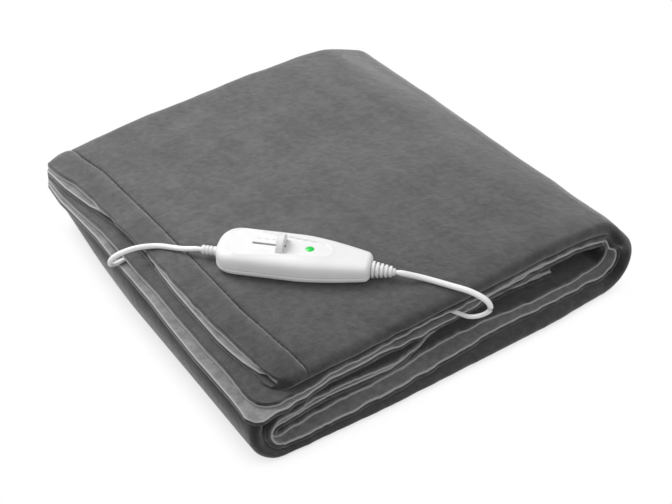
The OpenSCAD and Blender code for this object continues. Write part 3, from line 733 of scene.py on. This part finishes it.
def plush(name, dark, light, painted_edge_highlight=None, sheen=0.6, painted_side_shade=None):
    """Short-pile plush: mottled nap, fine pile, and a soft sheen. Given a share for painted shade,
    faces turned one way get painted shade, darker down to that share, and the front, towards low
    object y, gets painted shade too."""
    material, tree, shader = new_material(name)
    at = object_coords(tree)
    nap = noise(tree, at, 26, 4, 0.6)
    mottle = noise(tree, at, 130, 3, 0.6)
    pile = noise(tree, at, 900, 3, 0.7)
    color = mix_color(tree, ramp(tree, nap, 0.32, 0.7), dark, light)
    grain = mix_color(tree, ramp(tree, mottle, 0.3, 0.7), (0.82,) * 3, (1.16,) * 3)
    color = mix_color(tree, 1.0, color, grain, "MULTIPLY")
    specks = mix_color(tree, ramp(tree, pile, 0.3, 0.72), (0.84,) * 3, (1.15,) * 3)
    color = mix_color(tree, 1.0, color, specks, "MULTIPLY")
    if painted_side_shade:
        # painted shade: faces turned one way are darkened down to the given share
        geometry = node(tree, "ShaderNodeNewGeometry")
        turned = node(tree, "ShaderNodeVectorMath", operation="DOT_PRODUCT")
        tree.links.new(geometry.outputs["Normal"], turned.inputs[0])
        turned.inputs[1].default_value = PAINTED_SHADE_FACING
        shade = ramp(tree, turned.outputs["Value"], -0.05, 0.6, 1.0, painted_side_shade)
        color = mix_color(tree, shade, (0.0,) * 3, color)
        # painted shade: the front, towards low object y, is darkened down to 0.7
        split = node(tree, "ShaderNodeSeparateXYZ")
        tree.links.new(at, split.inputs[0])
        tone_factor = ramp(tree, split.outputs["Y"], -0.24, 0.10, 0.70, 1.0)
        color = mix_color(tree, tone_factor, (0.0,) * 3, color)
    # painted highlight: the lining is lightened within about 2 mm of its free edges, as if its rims
    # caught the light
    if painted_edge_highlight:
        distance = node(tree, "ShaderNodeAttribute", attribute_name="edge_mm")
        near = ramp(tree, distance.outputs["Fac"], 0.2, 2.2, 1.0, 0.0)
        color = mix_color(tree, near, color, painted_edge_highlight)
    tree.links.new(color, shader.inputs["Base Color"])
    shader.inputs["Roughness"].default_value = 0.95
    shader.inputs["Specular IOR Level"].default_value = 0.15
    shader.inputs["Sheen Weight"].default_value = sheen
    shader.inputs["Sheen Roughness"].default_value = 0.45
    shader.inputs["Sheen Tint"].default_value = (1, 1, 1, 1)
    height = add_heights(tree, (pile, 1.0), (mottle, 1.3), (nap, 0.8))
    bump(tree, shader, height, 0.55, 0.0011)
    return material


def plastic(name, color, rough=0.35, texture=0.12, vary=0.06):
    """Moulded plastic with a fine spark texture and slight tone variation."""
    material, tree, shader = new_material(name)
    at = object_coords(tree)
    broad = noise(tree, at, 40, 2)
    fine = noise(tree, at, 2600, 2)
    low = tuple(c * (1 - vary) for c in color)
    high = tuple(min(1.0, c * (1 + vary)) for c in color)
    tree.links.new(mix_color(tree, broad, low, high), shader.inputs["Base Color"])
    tree.links.new(ramp(tree, fine, 0.3, 0.7, rough - 0.05, rough + 0.08),
                   shader.inputs["Roughness"])
    shader.inputs["Subsurface Weight"].default_value = 0.0
    bump(tree, shader, fine, texture, 0.0002)
    return material


def metal(name, color, rough=0.3):
    material, tree, shader = new_material(name)
    at = object_coords(tree)
    # fine grain of the metal, in its tone, roughness and bumps
    tone_factor = noise(tree, at, 500, 3)
    tree.links.new(mix_color(tree, tone_factor, tuple(c * 0.8 for c in color), color),
                   shader.inputs["Base Color"])
    tree.links.new(ramp(tree, tone_factor, 0.2, 0.8, rough - 0.08, rough + 0.12),
                   shader.inputs["Roughness"])
    shader.inputs["Metallic"].default_value = 1.0
    bump(tree, shader, tone_factor, 0.1, 0.0001)
    return material


def glow(name, color, strength):
    """Lit LED window: the middle is bright and it darkens to its rim."""
    material, tree, shader = new_material(name)
    facing = node(tree, "ShaderNodeLayerWeight")
    facing.inputs["Blend"].default_value = 0.35
    tone = mix_color(tree, facing.outputs["Facing"], color, tuple(c * 0.45 for c in color))
    tree.links.new(tone, shader.inputs["Base Color"])
    tree.links.new(tone, shader.inputs["Emission Color"])
    shader.inputs["Emission Strength"].default_value = strength
    shader.inputs["Roughness"].default_value = 0.2
    at = object_coords(tree)
    bump(tree, shader, noise(tree, at, 900), 0.05, 0.0001)
    return material


DARK = (0.078, 0.078, 0.079)
DARK_HIGH = (0.100, 0.100, 0.101)
LIGHT = (0.195, 0.195, 0.196)
LIGHT_HIGH = (0.240, 0.240, 0.241)
# colour of the painted highlight along the lining's free edges
EDGE_HIGHLIGHT = (0.40, 0.40, 0.402)
WHITE = (0.78, 0.78, 0.78)

MATERIALS = {
    # the cover gets painted shade on one side and at the front
    "cover_fabric": plush("cover_plush", DARK, DARK_HIGH, painted_side_shade=0.5),
    # the lining gets a painted highlight along its free edges
    "lining_fabric": plush("lining_plush", LIGHT, LIGHT_HIGH, painted_edge_highlight=EDGE_HIGHLIGHT, sheen=0.5),
    "carrier_fleece": plush("carrier_fleece", (0.6, 0.59, 0.56), (0.7, 0.69, 0.66), sheen=0.1),
    "thread": plush("sewing_thread", (0.05, 0.05, 0.053), (0.08, 0.08, 0.084), sheen=0.3),
    "wire_jacket": plastic("wire_jacket", (0.72, 0.35, 0.12), 0.4),
    "case_plastic": plastic("case_plastic", WHITE, 0.33),
    "knob_plastic": plastic("knob_plastic", (0.72, 0.72, 0.72), 0.38),
    "carriage_plastic": plastic("carriage_plastic", (0.1, 0.2, 0.35), 0.4),
    "switch_plastic": plastic("switch_plastic", (0.03, 0.032, 0.035), 0.4),
    "contact_brass": metal("contact_brass", (0.75, 0.55, 0.25)),
    "spring_steel": metal("spring_steel", (0.6, 0.62, 0.64)),
    "zinc_steel": metal("zinc_steel", (0.55, 0.57, 0.58), 0.38),
    "pin_nickel": metal("pin_nickel", (0.72, 0.71, 0.68), 0.22),
    "led_window": glow("led_window", (0.01, 0.5, 0.06), 0.45),
    "led_resin": plastic("led_resin", (0.6, 0.85, 0.62), 0.15, 0.03),
    "board_resin": plastic("board_resin", (0.05, 0.25, 0.1), 0.45),
    "capacitor_resin": plastic("capacitor_resin", (0.65, 0.48, 0.12), 0.4),
    "fuse_glass": plastic("fuse_glass", (0.7, 0.74, 0.76), 0.1, 0.02),
    "terminal_plastic": plastic("terminal_plastic", (0.08, 0.35, 0.16), 0.4),
    "relief_rubber": plastic("relief_rubber", (0.78, 0.78, 0.78), 0.5, 0.2),
    "clamp_plastic": plastic("clamp_plastic", (0.7, 0.7, 0.69), 0.45),
    "cable_jacket": plastic("cable_jacket", (0.86, 0.86, 0.86), 0.42, 0.15),
    "lead_blue": plastic("lead_blue", (0.05, 0.15, 0.5), 0.4),
    "lead_brown": plastic("lead_brown", (0.22, 0.1, 0.05), 0.4),
    "socket_plastic": plastic("socket_plastic", (0.7, 0.7, 0.69), 0.4),
}


def slot_of_nodes():
    """Material slot of each CAD node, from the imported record."""
    return {part["node"]: part["material_slot"] for part in frame["record"]["subparts"]}


def finish_piece(obj, slot):
    obj.data.materials.clear()
    obj.data.materials.append(MATERIALS[slot])


# ---------- Blanket ----------


def build_fabric():
    layers = (
        ("cover", 0.0, COVER_T, "cover_fabric"),
        ("lining", LINING_O, PLY_T, "lining_fabric"),
        ("carrier", CARRIER_O, CARRIER_O + CARRIER_T, "carrier_fleece"),
    )
    for layer, o1, o2, slot in layers:
        for part in ("base", "bend", "top"):
            cad_node = f"{layer}_{part}"
            obj = fabric_piece(f"{layer}_cloth_{part}", part, layer, o1, o2)
            if part == "bend":
                follow_fold(obj)
            else:
                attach(obj, BODY_OF[part])
            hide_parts(cad_node)
            finish_piece(obj, slot)


def ply_shares(w):
    """Share of a depth w in the plies d, c, b, a."""
    pitch = PLY_T + PLY_GAP
    steps = [smooth(1.8 * (w - (k + 0.5) * pitch) / pitch - 0.4) for k in range(3)]
    return (1 - steps[0], steps[0] - steps[1], steps[1] - steps[2], steps[2])


def laid_out(points):
    """Where points of the flat CAD strip lie in the real pack, and their angles
    round the right fold."""
    x, y, z = points.T
    out = np.empty_like(points)
    angle = np.zeros(len(points))
    turn_r = x > FOLD_R + 1e-3
    turn_l = x < FOLD_L - 1e-3
    is_top = ~turn_r & (z > TOP_Z - 0.2)
    turn_l &= ~is_top
    is_middle = ~turn_r & ~turn_l & ~is_top & (z > R_LEFT)
    is_base = ~(turn_r | turn_l | is_top | is_middle)
    r_right = np.hypot(x - FOLD_R, z - R_RIGHT)
    r_left = np.hypot(x - FOLD_L, z - R_LEFT)
    a_right = np.degrees(np.arctan2(z - R_RIGHT, x - FOLD_R))
    a_left = np.degrees(np.arctan2(z - R_LEFT, FOLD_L - x))
    for section, mask, s, w in (
        ("top", is_top, x, z - TOP_Z),
        ("right", turn_r, a_right, r_right - R_RIGHT + STACK),
        ("base", is_base, x, STACK - z),
        ("left", turn_l, a_left, r_left - R_LEFT + STACK),
        ("middle", is_middle, x, z - (MID_TOP - STACK)),
    ):
        if mask.any():
            shares = ply_shares(w[mask])
            out[mask] = place(section, s[mask], y[mask], w[mask], shares)
    angle[turn_r] = a_right[turn_r]
    return out, angle


def short_lengths(node_name):
    """Points (mm) and faces of a CAD node, cut across x into 18 mm lengths."""
    bm = bmesh.new()
    bm.from_mesh(frame["nodes"][node_name].data)
    for x in np.arange(LEFT_HEM, FOLD_R, 18.0):
        bmesh.ops.bisect_plane(bm, geom=bm.verts[:] + bm.edges[:] + bm.faces[:], dist=1e-7,
                               plane_co=(x / MM, 0, 0), plane_no=(1, 0, 0))
    bm.verts.index_update()
    points = np.array([v.co[:] for v in bm.verts]) * MM
    faces = [[v.index for v in f.verts] for f in bm.faces]
    bm.free()
    return points, faces


def build_wires():
    """The heating wire, carried along with the plies it is fixed in."""
    for part in ("base", "bend", "top"):
        flat_points, faces = short_lengths(f"wire_{part}")
        points, angle = laid_out(flat_points)
        obj = new_object(f"heating_wire_{part}", points, faces)
        if part == "bend":
            float_attribute(obj, "turn_share", smooth((angle + 90) / 180))
            follow_fold(obj)
        else:
            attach(obj, BODY_OF[part])
        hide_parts(f"wire_{part}")
        finish_piece(obj, "wire_jacket")


def tube(path, radius, sides):
    """Points and faces of a round tube along a path; radius may vary along it."""
    path = np.asarray(path, float)
    count = len(path)
    radius = np.broadcast_to(radius, count)
    tangent = np.gradient(path, axis=0)
    tangent /= np.linalg.norm(tangent, axis=1)[:, None]
    side = np.cross(tangent, [0.02, 0.03, 1.0])
    side /= np.linalg.norm(side, axis=1)[:, None]
    up = np.cross(side, tangent)
    turn = 2 * np.pi * np.arange(sides) / sides
    ring = (np.cos(turn)[None, :, None] * side[:, None] + np.sin(turn)[None, :, None] * up[:, None])
    points = (path[:, None] + radius[:, None, None] * ring).reshape(-1, 3)
    faces = []
    for i in range(count - 1):
        for k in range(sides):
            j = (k + 1) % sides
            faces.append((i * sides + k, i * sides + j, (i + 1) * sides + j, (i + 1) * sides + k))
    faces.append(tuple(range(sides))[::-1])
    faces.append(tuple((count - 1) * sides + k for k in range(sides)))
    return points, faces


def join_parts(name, parts):
    """One object from several (points, faces) parts."""
    points, faces, start = [], [], 0
    for part_points, part_faces in parts:
        points.append(part_points)
        faces += [tuple(start + i for i in face) for face in part_faces]
        start += len(part_points)
    return new_object(name, np.concatenate(points), faces)


def build_stitches():
    """Thread stitches sunk in the hem seam of the top cover."""
    parts = []
    share_a = (0.0, 0.0, 0.0, 1.0)
    for start in np.arange(FRONT + 14, BACK_FOLD_Y - 10, STITCH_PITCH):
        y = start + np.linspace(0, STITCH_L, 7)
        bow = np.sin(np.linspace(0, np.pi, 7))
        depth = 1.15 - 0.75 * bow
        path = place("top", SEAM_S, y, STACK - depth, share_a)
        parts.append(tube(path, 0.28 + 0.17 * bow, 8))
    obj = join_parts("hem_stitches", parts)
    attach(obj, "top_panel")
    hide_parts("hem_stitching")
    finish_piece(obj, "thread")


# ---------- Controller ----------

# The case's own directions: along runs from its blunt end to its tip
SLIDE = next(j for j in frame["record"]["behaviour"]["joints"] if j["name"] == "slider_travel")
ALONG = -np.array(SLIDE["axis"])
ACROSS = np.array([-ALONG[1], ALONG[0], 0])
_shell = cad_points("controller_bottom_shell")
CASE_START = 0.6
CASE_POS = (
    ALONG * ((_shell @ ALONG).min() - CASE_START)
    + ACROSS * ((_shell @ ACROSS).min() + (_shell @ ACROSS).max()) / 2
    + np.array([0, 0, _shell[:, 2].min()])
)
CASE_L = (_shell @ ALONG).max() - CASE_POS @ ALONG
PARTING_Z = 9.5
CASE_H, TIP_CROWN = 27.5, 21
HALF_W, TIP_HALF_W = 28.5, 16
NOSE_L, TAPER_X, TAIL_L = 26, 85, 6
UPPER_POWER, LOWER_POWER = 0.5, 0.6
DECK_Z = CASE_H - 1.9
DECK = ((27, 21), (106, 11))  # middle and radius of each round end
WALL, ROOF = 2, 4
BORE_SMALL, BORE_LARGE, WINDOW_R, SLOT_W = 3.5, 5.1, 4.5, 3.2


def case_to_world(points):
    points = np.asarray(points, float)
    return (CASE_POS + points[..., :1] * ALONG + points[..., 1:2] * ACROSS
            + points[..., 2:] * np.array([0, 0, 1]))


def nose(x):
    return (1 - np.clip(1 - x / NOSE_L, 0, 1) ** 2.5) ** 0.4


def taper(x):
    return np.clip((x - TAPER_X) / (CASE_L - TAPER_X), 0, 1) ** 1.5


def tail(x):
    return np.sqrt(1 - 0.45 * np.clip((x - CASE_L) / TAIL_L + 1, 0, 1) ** 3)


def half_w(x):
    return (HALF_W - (HALF_W - TIP_HALF_W) * taper(x)) * nose(x) * tail(x)


def crown(x):
    return (CASE_H - (CASE_H - TIP_CROWN) * taper(x)) * (0.55 + 0.45 * nose(x))


def keel(x):
    return 3.5 * (1 - nose(x)) + 2.5 * taper(x)


def deck_depth(x, y):
    """How far inside the deck's outline a point lies, negative outside it."""
    (x1, r1), (x2, r2) = DECK
    h = x2 - x1
    b = (r1 - r2) / h
    a = math.sqrt(1 - b * b)
    px, py = np.abs(y), x - x1
    k = a * py - b * px
    side = r1 - (a * px + b * py)
    start = r1 - np.hypot(px, py)
    end = r2 - np.hypot(px, py - h)
    return np.where(k < 0, start, np.where(k > a * h, end, side))


def half_ring_points(x, upper, side_in, height_in, count=84):
    """Evenly spaced points over one half of the case's cross-section at x."""
    a = np.radians(np.linspace(0, 180, 721))
    power = UPPER_POWER if upper else LOWER_POWER
    full = crown(x) - height_in - PARTING_Z if upper else PARTING_Z - keel(x) - height_in
    y = (half_w(x) - side_in) * np.sign(np.cos(a)) * np.abs(np.cos(a)) ** power
    z = full * tail(x) * np.sin(a) ** power
    run = np.concatenate([[0], np.cumsum(np.hypot(np.diff(y), np.diff(z)))])
    share = np.concatenate([[0, 0.006, 0.012, 0.018], np.linspace(0.03, 0.97, count),
                            [0.982, 0.988, 0.994, 1]])
    at = share * run[-1]
    y, z = np.interp(at, run, y), np.interp(at, run, z)
    return y, PARTING_Z + (z if upper else -z)


def shell_object(name, upper):
    """Half of the case as a closed solid: outer skin, inner skin, and the rim between."""
    x_out = CASE_START + spaced((5, 0.5), (26, 1.0), (CASE_L - 8, 1.4),
                                (CASE_L - CASE_START, 0.5))
    x_in = 5 + (x_out - x_out[0]) / (x_out[-1] - x_out[0]) * (CASE_L - 9)
    outer, inner = [], []
    gap = 0.05 if upper else -0.05
    for x, xi in zip(x_out, x_in):
        y, z = half_ring_points(x, upper, 0, 0)
        if upper:
            inside = deck_depth(x, y)
            z = z - np.maximum(z - DECK_Z, 0) * smooth(inside / 0.9)
            ridge = 0.45 * np.exp(-(((inside + 1.1) / 1.0) ** 2)) * (z > PARTING_Z + 8)
            z = z + ridge
        groove = 0.45 * np.exp(-((np.abs(z - PARTING_Z) / 0.45) ** 2))
        y = y - np.sign(y) * groove
        z = np.maximum(z, PARTING_Z + gap) if upper else np.minimum(z, PARTING_Z + gap)
        outer.append(np.stack([np.full_like(y, x), y, z], -1))
        y, z = half_ring_points(xi, upper, WALL, ROOF if upper else WALL)
        z = np.maximum(z, PARTING_Z + gap) if upper else np.minimum(z, PARTING_Z + gap)
        inner.append(np.stack([np.full_like(y, xi), y, z], -1))
    outer, inner = np.array(outer), np.array(inner)
    rows, cols = outer.shape[:2]
    total = rows * cols
    faces = [list(f) for f in grid_faces(rows, cols, 0, False)]
    faces += [list(f) for f in grid_faces(rows, cols, total, True)]
    for k in (0, cols - 1):
        for i in range(rows - 1):
            a, b = i * cols + k, (i + 1) * cols + k
            faces.append([a, b, total + b, total + a])
    for i in (0, rows - 1):
        ends = [i * cols + k for k in range(cols)]
        faces.append(ends)
        faces.append([total + v for v in ends][::-1])
        faces.append([ends[0], ends[-1], total + ends[-1], total + ends[0]])
    points = case_to_world(np.concatenate([outer.reshape(-1, 3), inner.reshape(-1, 3)]))
    obj = new_object(name, points, faces)
    outward(obj)
    return obj


def outward(obj):
    edit_mesh(obj, lambda bm: bmesh.ops.recalc_face_normals(bm, faces=bm.faces))


def cut(obj, *cutters):
    """Cuts closed solids out of a piece and shades its sharp edges sharp."""
    for cutter in cutters:
        outward(cutter)
        modifier = obj.modifiers.new("cut", "BOOLEAN")
        modifier.operation, modifier.object, modifier.solver = "DIFFERENCE", cutter, "EXACT"
    seen = obj.evaluated_get(bpy.context.evaluated_depsgraph_get())
    mesh = bpy.data.meshes.new_from_object(seen)
    obj.modifiers.clear()
    obj.data = mesh
    for cutter in cutters:
        bpy.data.objects.remove(cutter)
    mesh.polygons.foreach_set("use_smooth", [True] * len(mesh.polygons))
    mesh.set_sharp_from_angle(angle=math.radians(38))


def rod_between(name, a, b, radius, sides=48):
    path = np.linspace(case_to_world(a), case_to_world(b), 2)
    return join_parts(name, [tube(path, radius, sides)])


def slot_cutter(x1, x2, width, z1, z2, middle=0):
    """A round-ended upright slot, with its middle line at y = middle."""
    t = np.radians(np.linspace(-90, 90, 13))
    r = width / 2
    ring = [(x2 - r + r * math.cos(k), r * math.sin(k)) for k in t]
    ring += [(x1 + r - r * math.cos(k), -r * math.sin(k)) for k in t]
    n = len(ring)
    points = [(x, middle + y, z) for z in (z1, z2) for x, y in ring]
    faces = [list(range(n))[::-1], [n + k for k in range(n)]]
    faces += [[k, (k + 1) % n, n + (k + 1) % n, n + k] for k in range(n)]
    return new_object("slot_cutter", case_to_world(points), faces, False)


KNOB_X, LED_X = 65.5, 95.0
TRAVEL, SLOT_SPARE = 24, 5.5
SLOT = (KNOB_X - TRAVEL - SLOT_SPARE, KNOB_X + SLOT_SPARE)
# The slider's other three settings, each marked by a short engraved dash
STOPS = [KNOB_X - TRAVEL * k / 3 for k in (3, 2, 1)]


def build_case():
    for name, upper in (("top", True), ("bottom", False)):
        obj = shell_object(f"case_{name}", upper)
        bores = [
            rod_between("bore", (-6, 0, PARTING_Z), (9, 0, PARTING_Z), BORE_SMALL),
            rod_between("bore", (CASE_L - 9, 0, PARTING_Z), (CASE_L + 9, 0, PARTING_Z),
                        BORE_LARGE),
        ]
        if upper:
            bores.append(slot_cutter(*SLOT, SLOT_W, 15, 35))
            for x in STOPS:
                bores.append(slot_cutter(x - 2.3, x + 2.3, 0.9, DECK_Z - 0.45, 35, middle=8.5))
            bores.append(rod_between("bore", (LED_X, 0, 15), (LED_X, 0, 35), WINDOW_R))
        cut(obj, *bores)
        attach(obj, "top_panel")
        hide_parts(f"controller_{name}_shell")
        finish_piece(obj, "case_plastic")


def through(points, step=2.0):
    """Smooth curve through points, sampled about every step mm."""
    pts = np.asarray(points, float)
    pts = np.concatenate([[2 * pts[0] - pts[1]], pts, [2 * pts[-1] - pts[-2]]])
    out = []
    for i in range(1, len(pts) - 2):
        p0, p1, p2, p3 = pts[i - 1:i + 3]
        count = max(2, int(np.linalg.norm(p2 - p1) / step))
        t = (np.arange(count) / count)[:, None]
        out.append(0.5 * (2 * p1 + (p2 - p0) * t + (2 * p0 - 5 * p1 + 4 * p2 - p3) * t**2
                          + (3 * p1 - p0 - 3 * p2 + p3) * t**3))
    out.append(pts[-2][None])
    return np.concatenate(out)


CABLE_R, CABLE_SIDES = 2.3, 24
GIVING_L = 90  # length of the blanket cable, from its plug end, over which its turn_share falls to 0
LAY_Z = PACK_H + CABLE_R + 0.15


def run_along(path):
    """Length along a path at each of its points."""
    return np.concatenate([[0], np.cumsum(np.linalg.norm(np.diff(path, axis=0), axis=1))])


def swollen(path, inside, swell):
    """Radius along a cable, thicker where it lies in the open: from the end of its
    strain relief, inside mm along, until it dips between the plies."""
    run = run_along(path)
    buried = run[np.argmax((path[:, 2] < NEST_Z + 8) & (run > inside + 20))]
    return CABLE_R + swell * smooth((run - inside) / 5) * smooth((buried - run) / 16)


def build_blanket_cable():
    """From the case over the front edge, back in between the plies, to the plug."""
    plug_lo, plug_hi = box_mm("connector_plug")
    plug_y = (plug_lo[1] + plug_hi[1]) / 2
    tip = [case_to_world((CASE_L + d, 0, PARTING_Z + dz))
           for d, dz in ((-10, 0), (10, 0), (24, 0), (30, -0.3))]
    path = through(tip + [
        (-12, -180, LAY_Z + 2.7), (4, -203, LAY_Z + 1), (15, -223, LAY_Z + 0.8),
        (23, -238.5, LAY_Z - 4.1), (24.5, -242.5, LAY_Z - 13), (19.5, -236, LAY_Z - 22),
        (12, -227, NEST_Z + 0.6), (7, -216, NEST_Z), (0, -202, NEST_Z), (-14, -184, NEST_Z),
        (-34, -163, NEST_Z), (plug_hi[0] + 14, plug_y, NEST_Z), (plug_hi[0] + 7, plug_y, NEST_Z),
        (plug_hi[0] + 0.3, plug_y, NEST_Z),
    ])
    obj = join_parts("blanket_cable_run", [tube(path, swollen(path, 35, 0.75), CABLE_SIDES)])
    # the last stretch gets a turn_share, 1 at the plug and 0 at GIVING_L from it
    share = 1 - smooth(run_along(path[::-1])[::-1] / GIVING_L)
    float_attribute(obj, "turn_share", np.repeat(share, CABLE_SIDES))
    follow(obj)
    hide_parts("blanket_cable")
    finish_piece(obj, "cable_jacket")


def zigzag(x, y_low, y_high, pitch, runs):
    """Plan of a cable folded to and fro, starting upwards at y_low."""
    plan = []
    for k in range(runs):
        up = k % 2 == 0
        start, stop = (y_low, y_high) if up else (y_high, y_low)
        plan += [(x + k * pitch, y) for y in np.linspace(start, stop, 7)]
        if k < runs - 1:
            r = pitch / 2
            plan += [(x + k * pitch + r - r * math.cos(a), stop + (r if up else -r) * math.sin(a))
                     for a in np.radians([45, 90, 135])]
    return plan


def build_mains_cable():
    """From the case over the left hem, then folded to and fro between the plies."""
    plug_lo, plug_hi = box_mm("mains_plug_body")
    plug_x, plug_y = plug_lo[0], (plug_lo[1] + plug_hi[1]) / 2
    lead_y, low, high, x0, pitch, runs = 50, 62, 183, -165, 14, 14
    last_x = x0 + (runs - 1) * pitch
    out = [case_to_world((d, 0, PARTING_Z + dz)) for d, dz in
           ((9, 0), (-6, 0), (-18, 0), (-23, -0.3))]
    out += [(-184, -3, LAY_Z + 2.6), (-200, 18, LAY_Z), (-219, 27, LAY_Z - 0.1),
            (-237, 31, LAY_Z - 2.6), (-244.5, 36, LAY_Z - 10), (-243.5, 42, LAY_Z - 20),
            (-236, 47, NEST_Z + 1.2), (-222, lead_y, NEST_Z), (-200, lead_y, NEST_Z)]
    plan = [(x0 - 12, lead_y), (x0 - 3, lead_y + 3.5)]
    plan += zigzag(x0, low, high, pitch, runs)
    plan += [(last_x + 13 * (1 - math.cos(a)), low - 13 * math.sin(a))
             for a in np.radians([30, 60, 90])]
    plan += [(last_x + 24, 51), (last_x + 36, 62), (plug_x - 12, plug_y), (plug_x - 0.5, plug_y)]
    path = through(out + [(x, y, NEST_Z) for x, y in plan])
    obj = join_parts("mains_cable_run", [tube(path, swollen(path, 27, 0.45), 20)])
    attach(obj, "top_panel")
    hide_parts("mains_cable")
    finish_piece(obj, "cable_jacket")


def bevel_cad_nodes():
    """Moulded parts that keep their CAD shape get rounded edges."""
    for name, width in (("slider_knob", 0.9), ("strain_relief_small", 0.2),
                        ("strain_relief_large", 0.35), ("connector_plug", 0.8),
                        ("socket_upper_shell", 0.8), ("socket_lower_shell", 0.8),
                        ("mains_plug_body", 1.5)):
        modifier = frame["nodes"][name].modifiers.new("rounded_edges", "BEVEL")
        modifier.width = width / MM
        modifier.segments = 3
        modifier.limit_method = "ANGLE"
        modifier.angle_limit = math.radians(50)


build_fabric()
build_wires()
build_stitches()
build_case()
build_blanket_cable()
build_mains_cable()
bevel_cad_nodes()

# ---------- Camera, light, floor ----------


AZIMUTH, ELEVATION = math.radians(-34.4), math.radians(36.2)
CAMERA_TARGET, CAMERA_DISTANCE = Vector((-0.009, -0.025, 0.040)), 1.623
LENS = 80.36


def add_camera():
    back = Vector((
        math.sin(AZIMUTH) * math.cos(ELEVATION),
        -math.cos(AZIMUTH) * math.cos(ELEVATION),
        math.sin(ELEVATION),
    ))
    camera = bpy.data.cameras.new("camera")
    camera.lens, camera.sensor_width = LENS, 36
    obj = bpy.data.objects.new("camera", camera)
    bpy.context.scene.collection.objects.link(obj)
    obj.location = CAMERA_TARGET + back * CAMERA_DISTANCE
    obj.rotation_euler = (-back).to_track_quat("-Z", "Y").to_euler()
    bpy.context.scene.camera = obj


def add_area(name, place_at, target, size, power):
    light = bpy.data.lights.new(name, "AREA")
    light.size, light.energy = size, power
    obj = bpy.data.objects.new(name, light)
    bpy.context.scene.collection.objects.link(obj)
    obj.location = place_at
    direction = Vector(target) - Vector(place_at)
    obj.rotation_euler = direction.to_track_quat("-Z", "Y").to_euler()


WORLD_LIGHT = 0.6


def floor_material():
    """Seen directly the floor is plain white with a soft painted shadow, from ambient occlusion,
    where the pack touches it; to every other ray it is a pale matt surface."""
    material, tree, shader = new_material("floor_white")
    shader.inputs["Base Color"].default_value = (0.52, 0.52, 0.52, 1)
    shader.inputs["Roughness"].default_value = 0.9
    # painted shadow: near the pack, ambient occlusion dims the white
    contact = node(tree, "ShaderNodeAmbientOcclusion", samples=8)
    contact.inputs["Distance"].default_value = 0.03
    white = node(tree, "ShaderNodeEmission")
    tree.links.new(ramp(tree, contact.outputs["AO"], 0.1, 0.8, 0.75, 1.0), white.inputs["Strength"])
    path = node(tree, "ShaderNodeLightPath")
    mixed = node(tree, "ShaderNodeMixShader")
    tree.links.new(path.outputs["Is Camera Ray"], mixed.inputs[0])
    tree.links.new(shader.outputs[0], mixed.inputs[1])
    tree.links.new(white.outputs[0], mixed.inputs[2])
    tree.links.new(mixed.outputs[0], tree.nodes["Material Output"].inputs["Surface"])
    return material


def add_stage():
    bpy.ops.mesh.primitive_plane_add(size=12, location=(0, 0, -0.0005))
    floor = bpy.context.object
    floor.name = "floor"
    floor.data.materials.append(floor_material())
    world = bpy.data.worlds.new("world")
    bpy.context.scene.world = world
    world.use_nodes = True
    tree = world.node_tree
    background = tree.nodes["Background"]
    background.inputs["Color"].default_value = (1, 1, 1, 1)
    path = node(tree, "ShaderNodeLightPath")
    seen = ramp(tree, path.outputs["Is Camera Ray"], 0, 1, WORLD_LIGHT, 1.0)
    tree.links.new(seen, background.inputs["Strength"])
    add_area("key", (-0.45, 0.85, 1.25), (0, 0.05, 0.05), 1.0, 20)
    add_area("fill", (-1.5, -1.0, 1.7), (0, 0, 0.05), 1.6, 3.5)
    add_area("front", (0.1, -1.7, 0.45), (0.05, -0.2, 0.05), 1.2, 3.0)
    bpy.context.scene.view_settings.view_transform = "Standard"


add_camera()
add_stage()


def dress_cad_nodes():
    """Every CAD node that stays on show gets its slot's material."""
    slots = slot_of_nodes()
    for name, obj in frame["nodes"].items():
        obj.data.materials.clear()
        obj.data.materials.append(MATERIALS[slots[name]])


dress_cad_nodes()
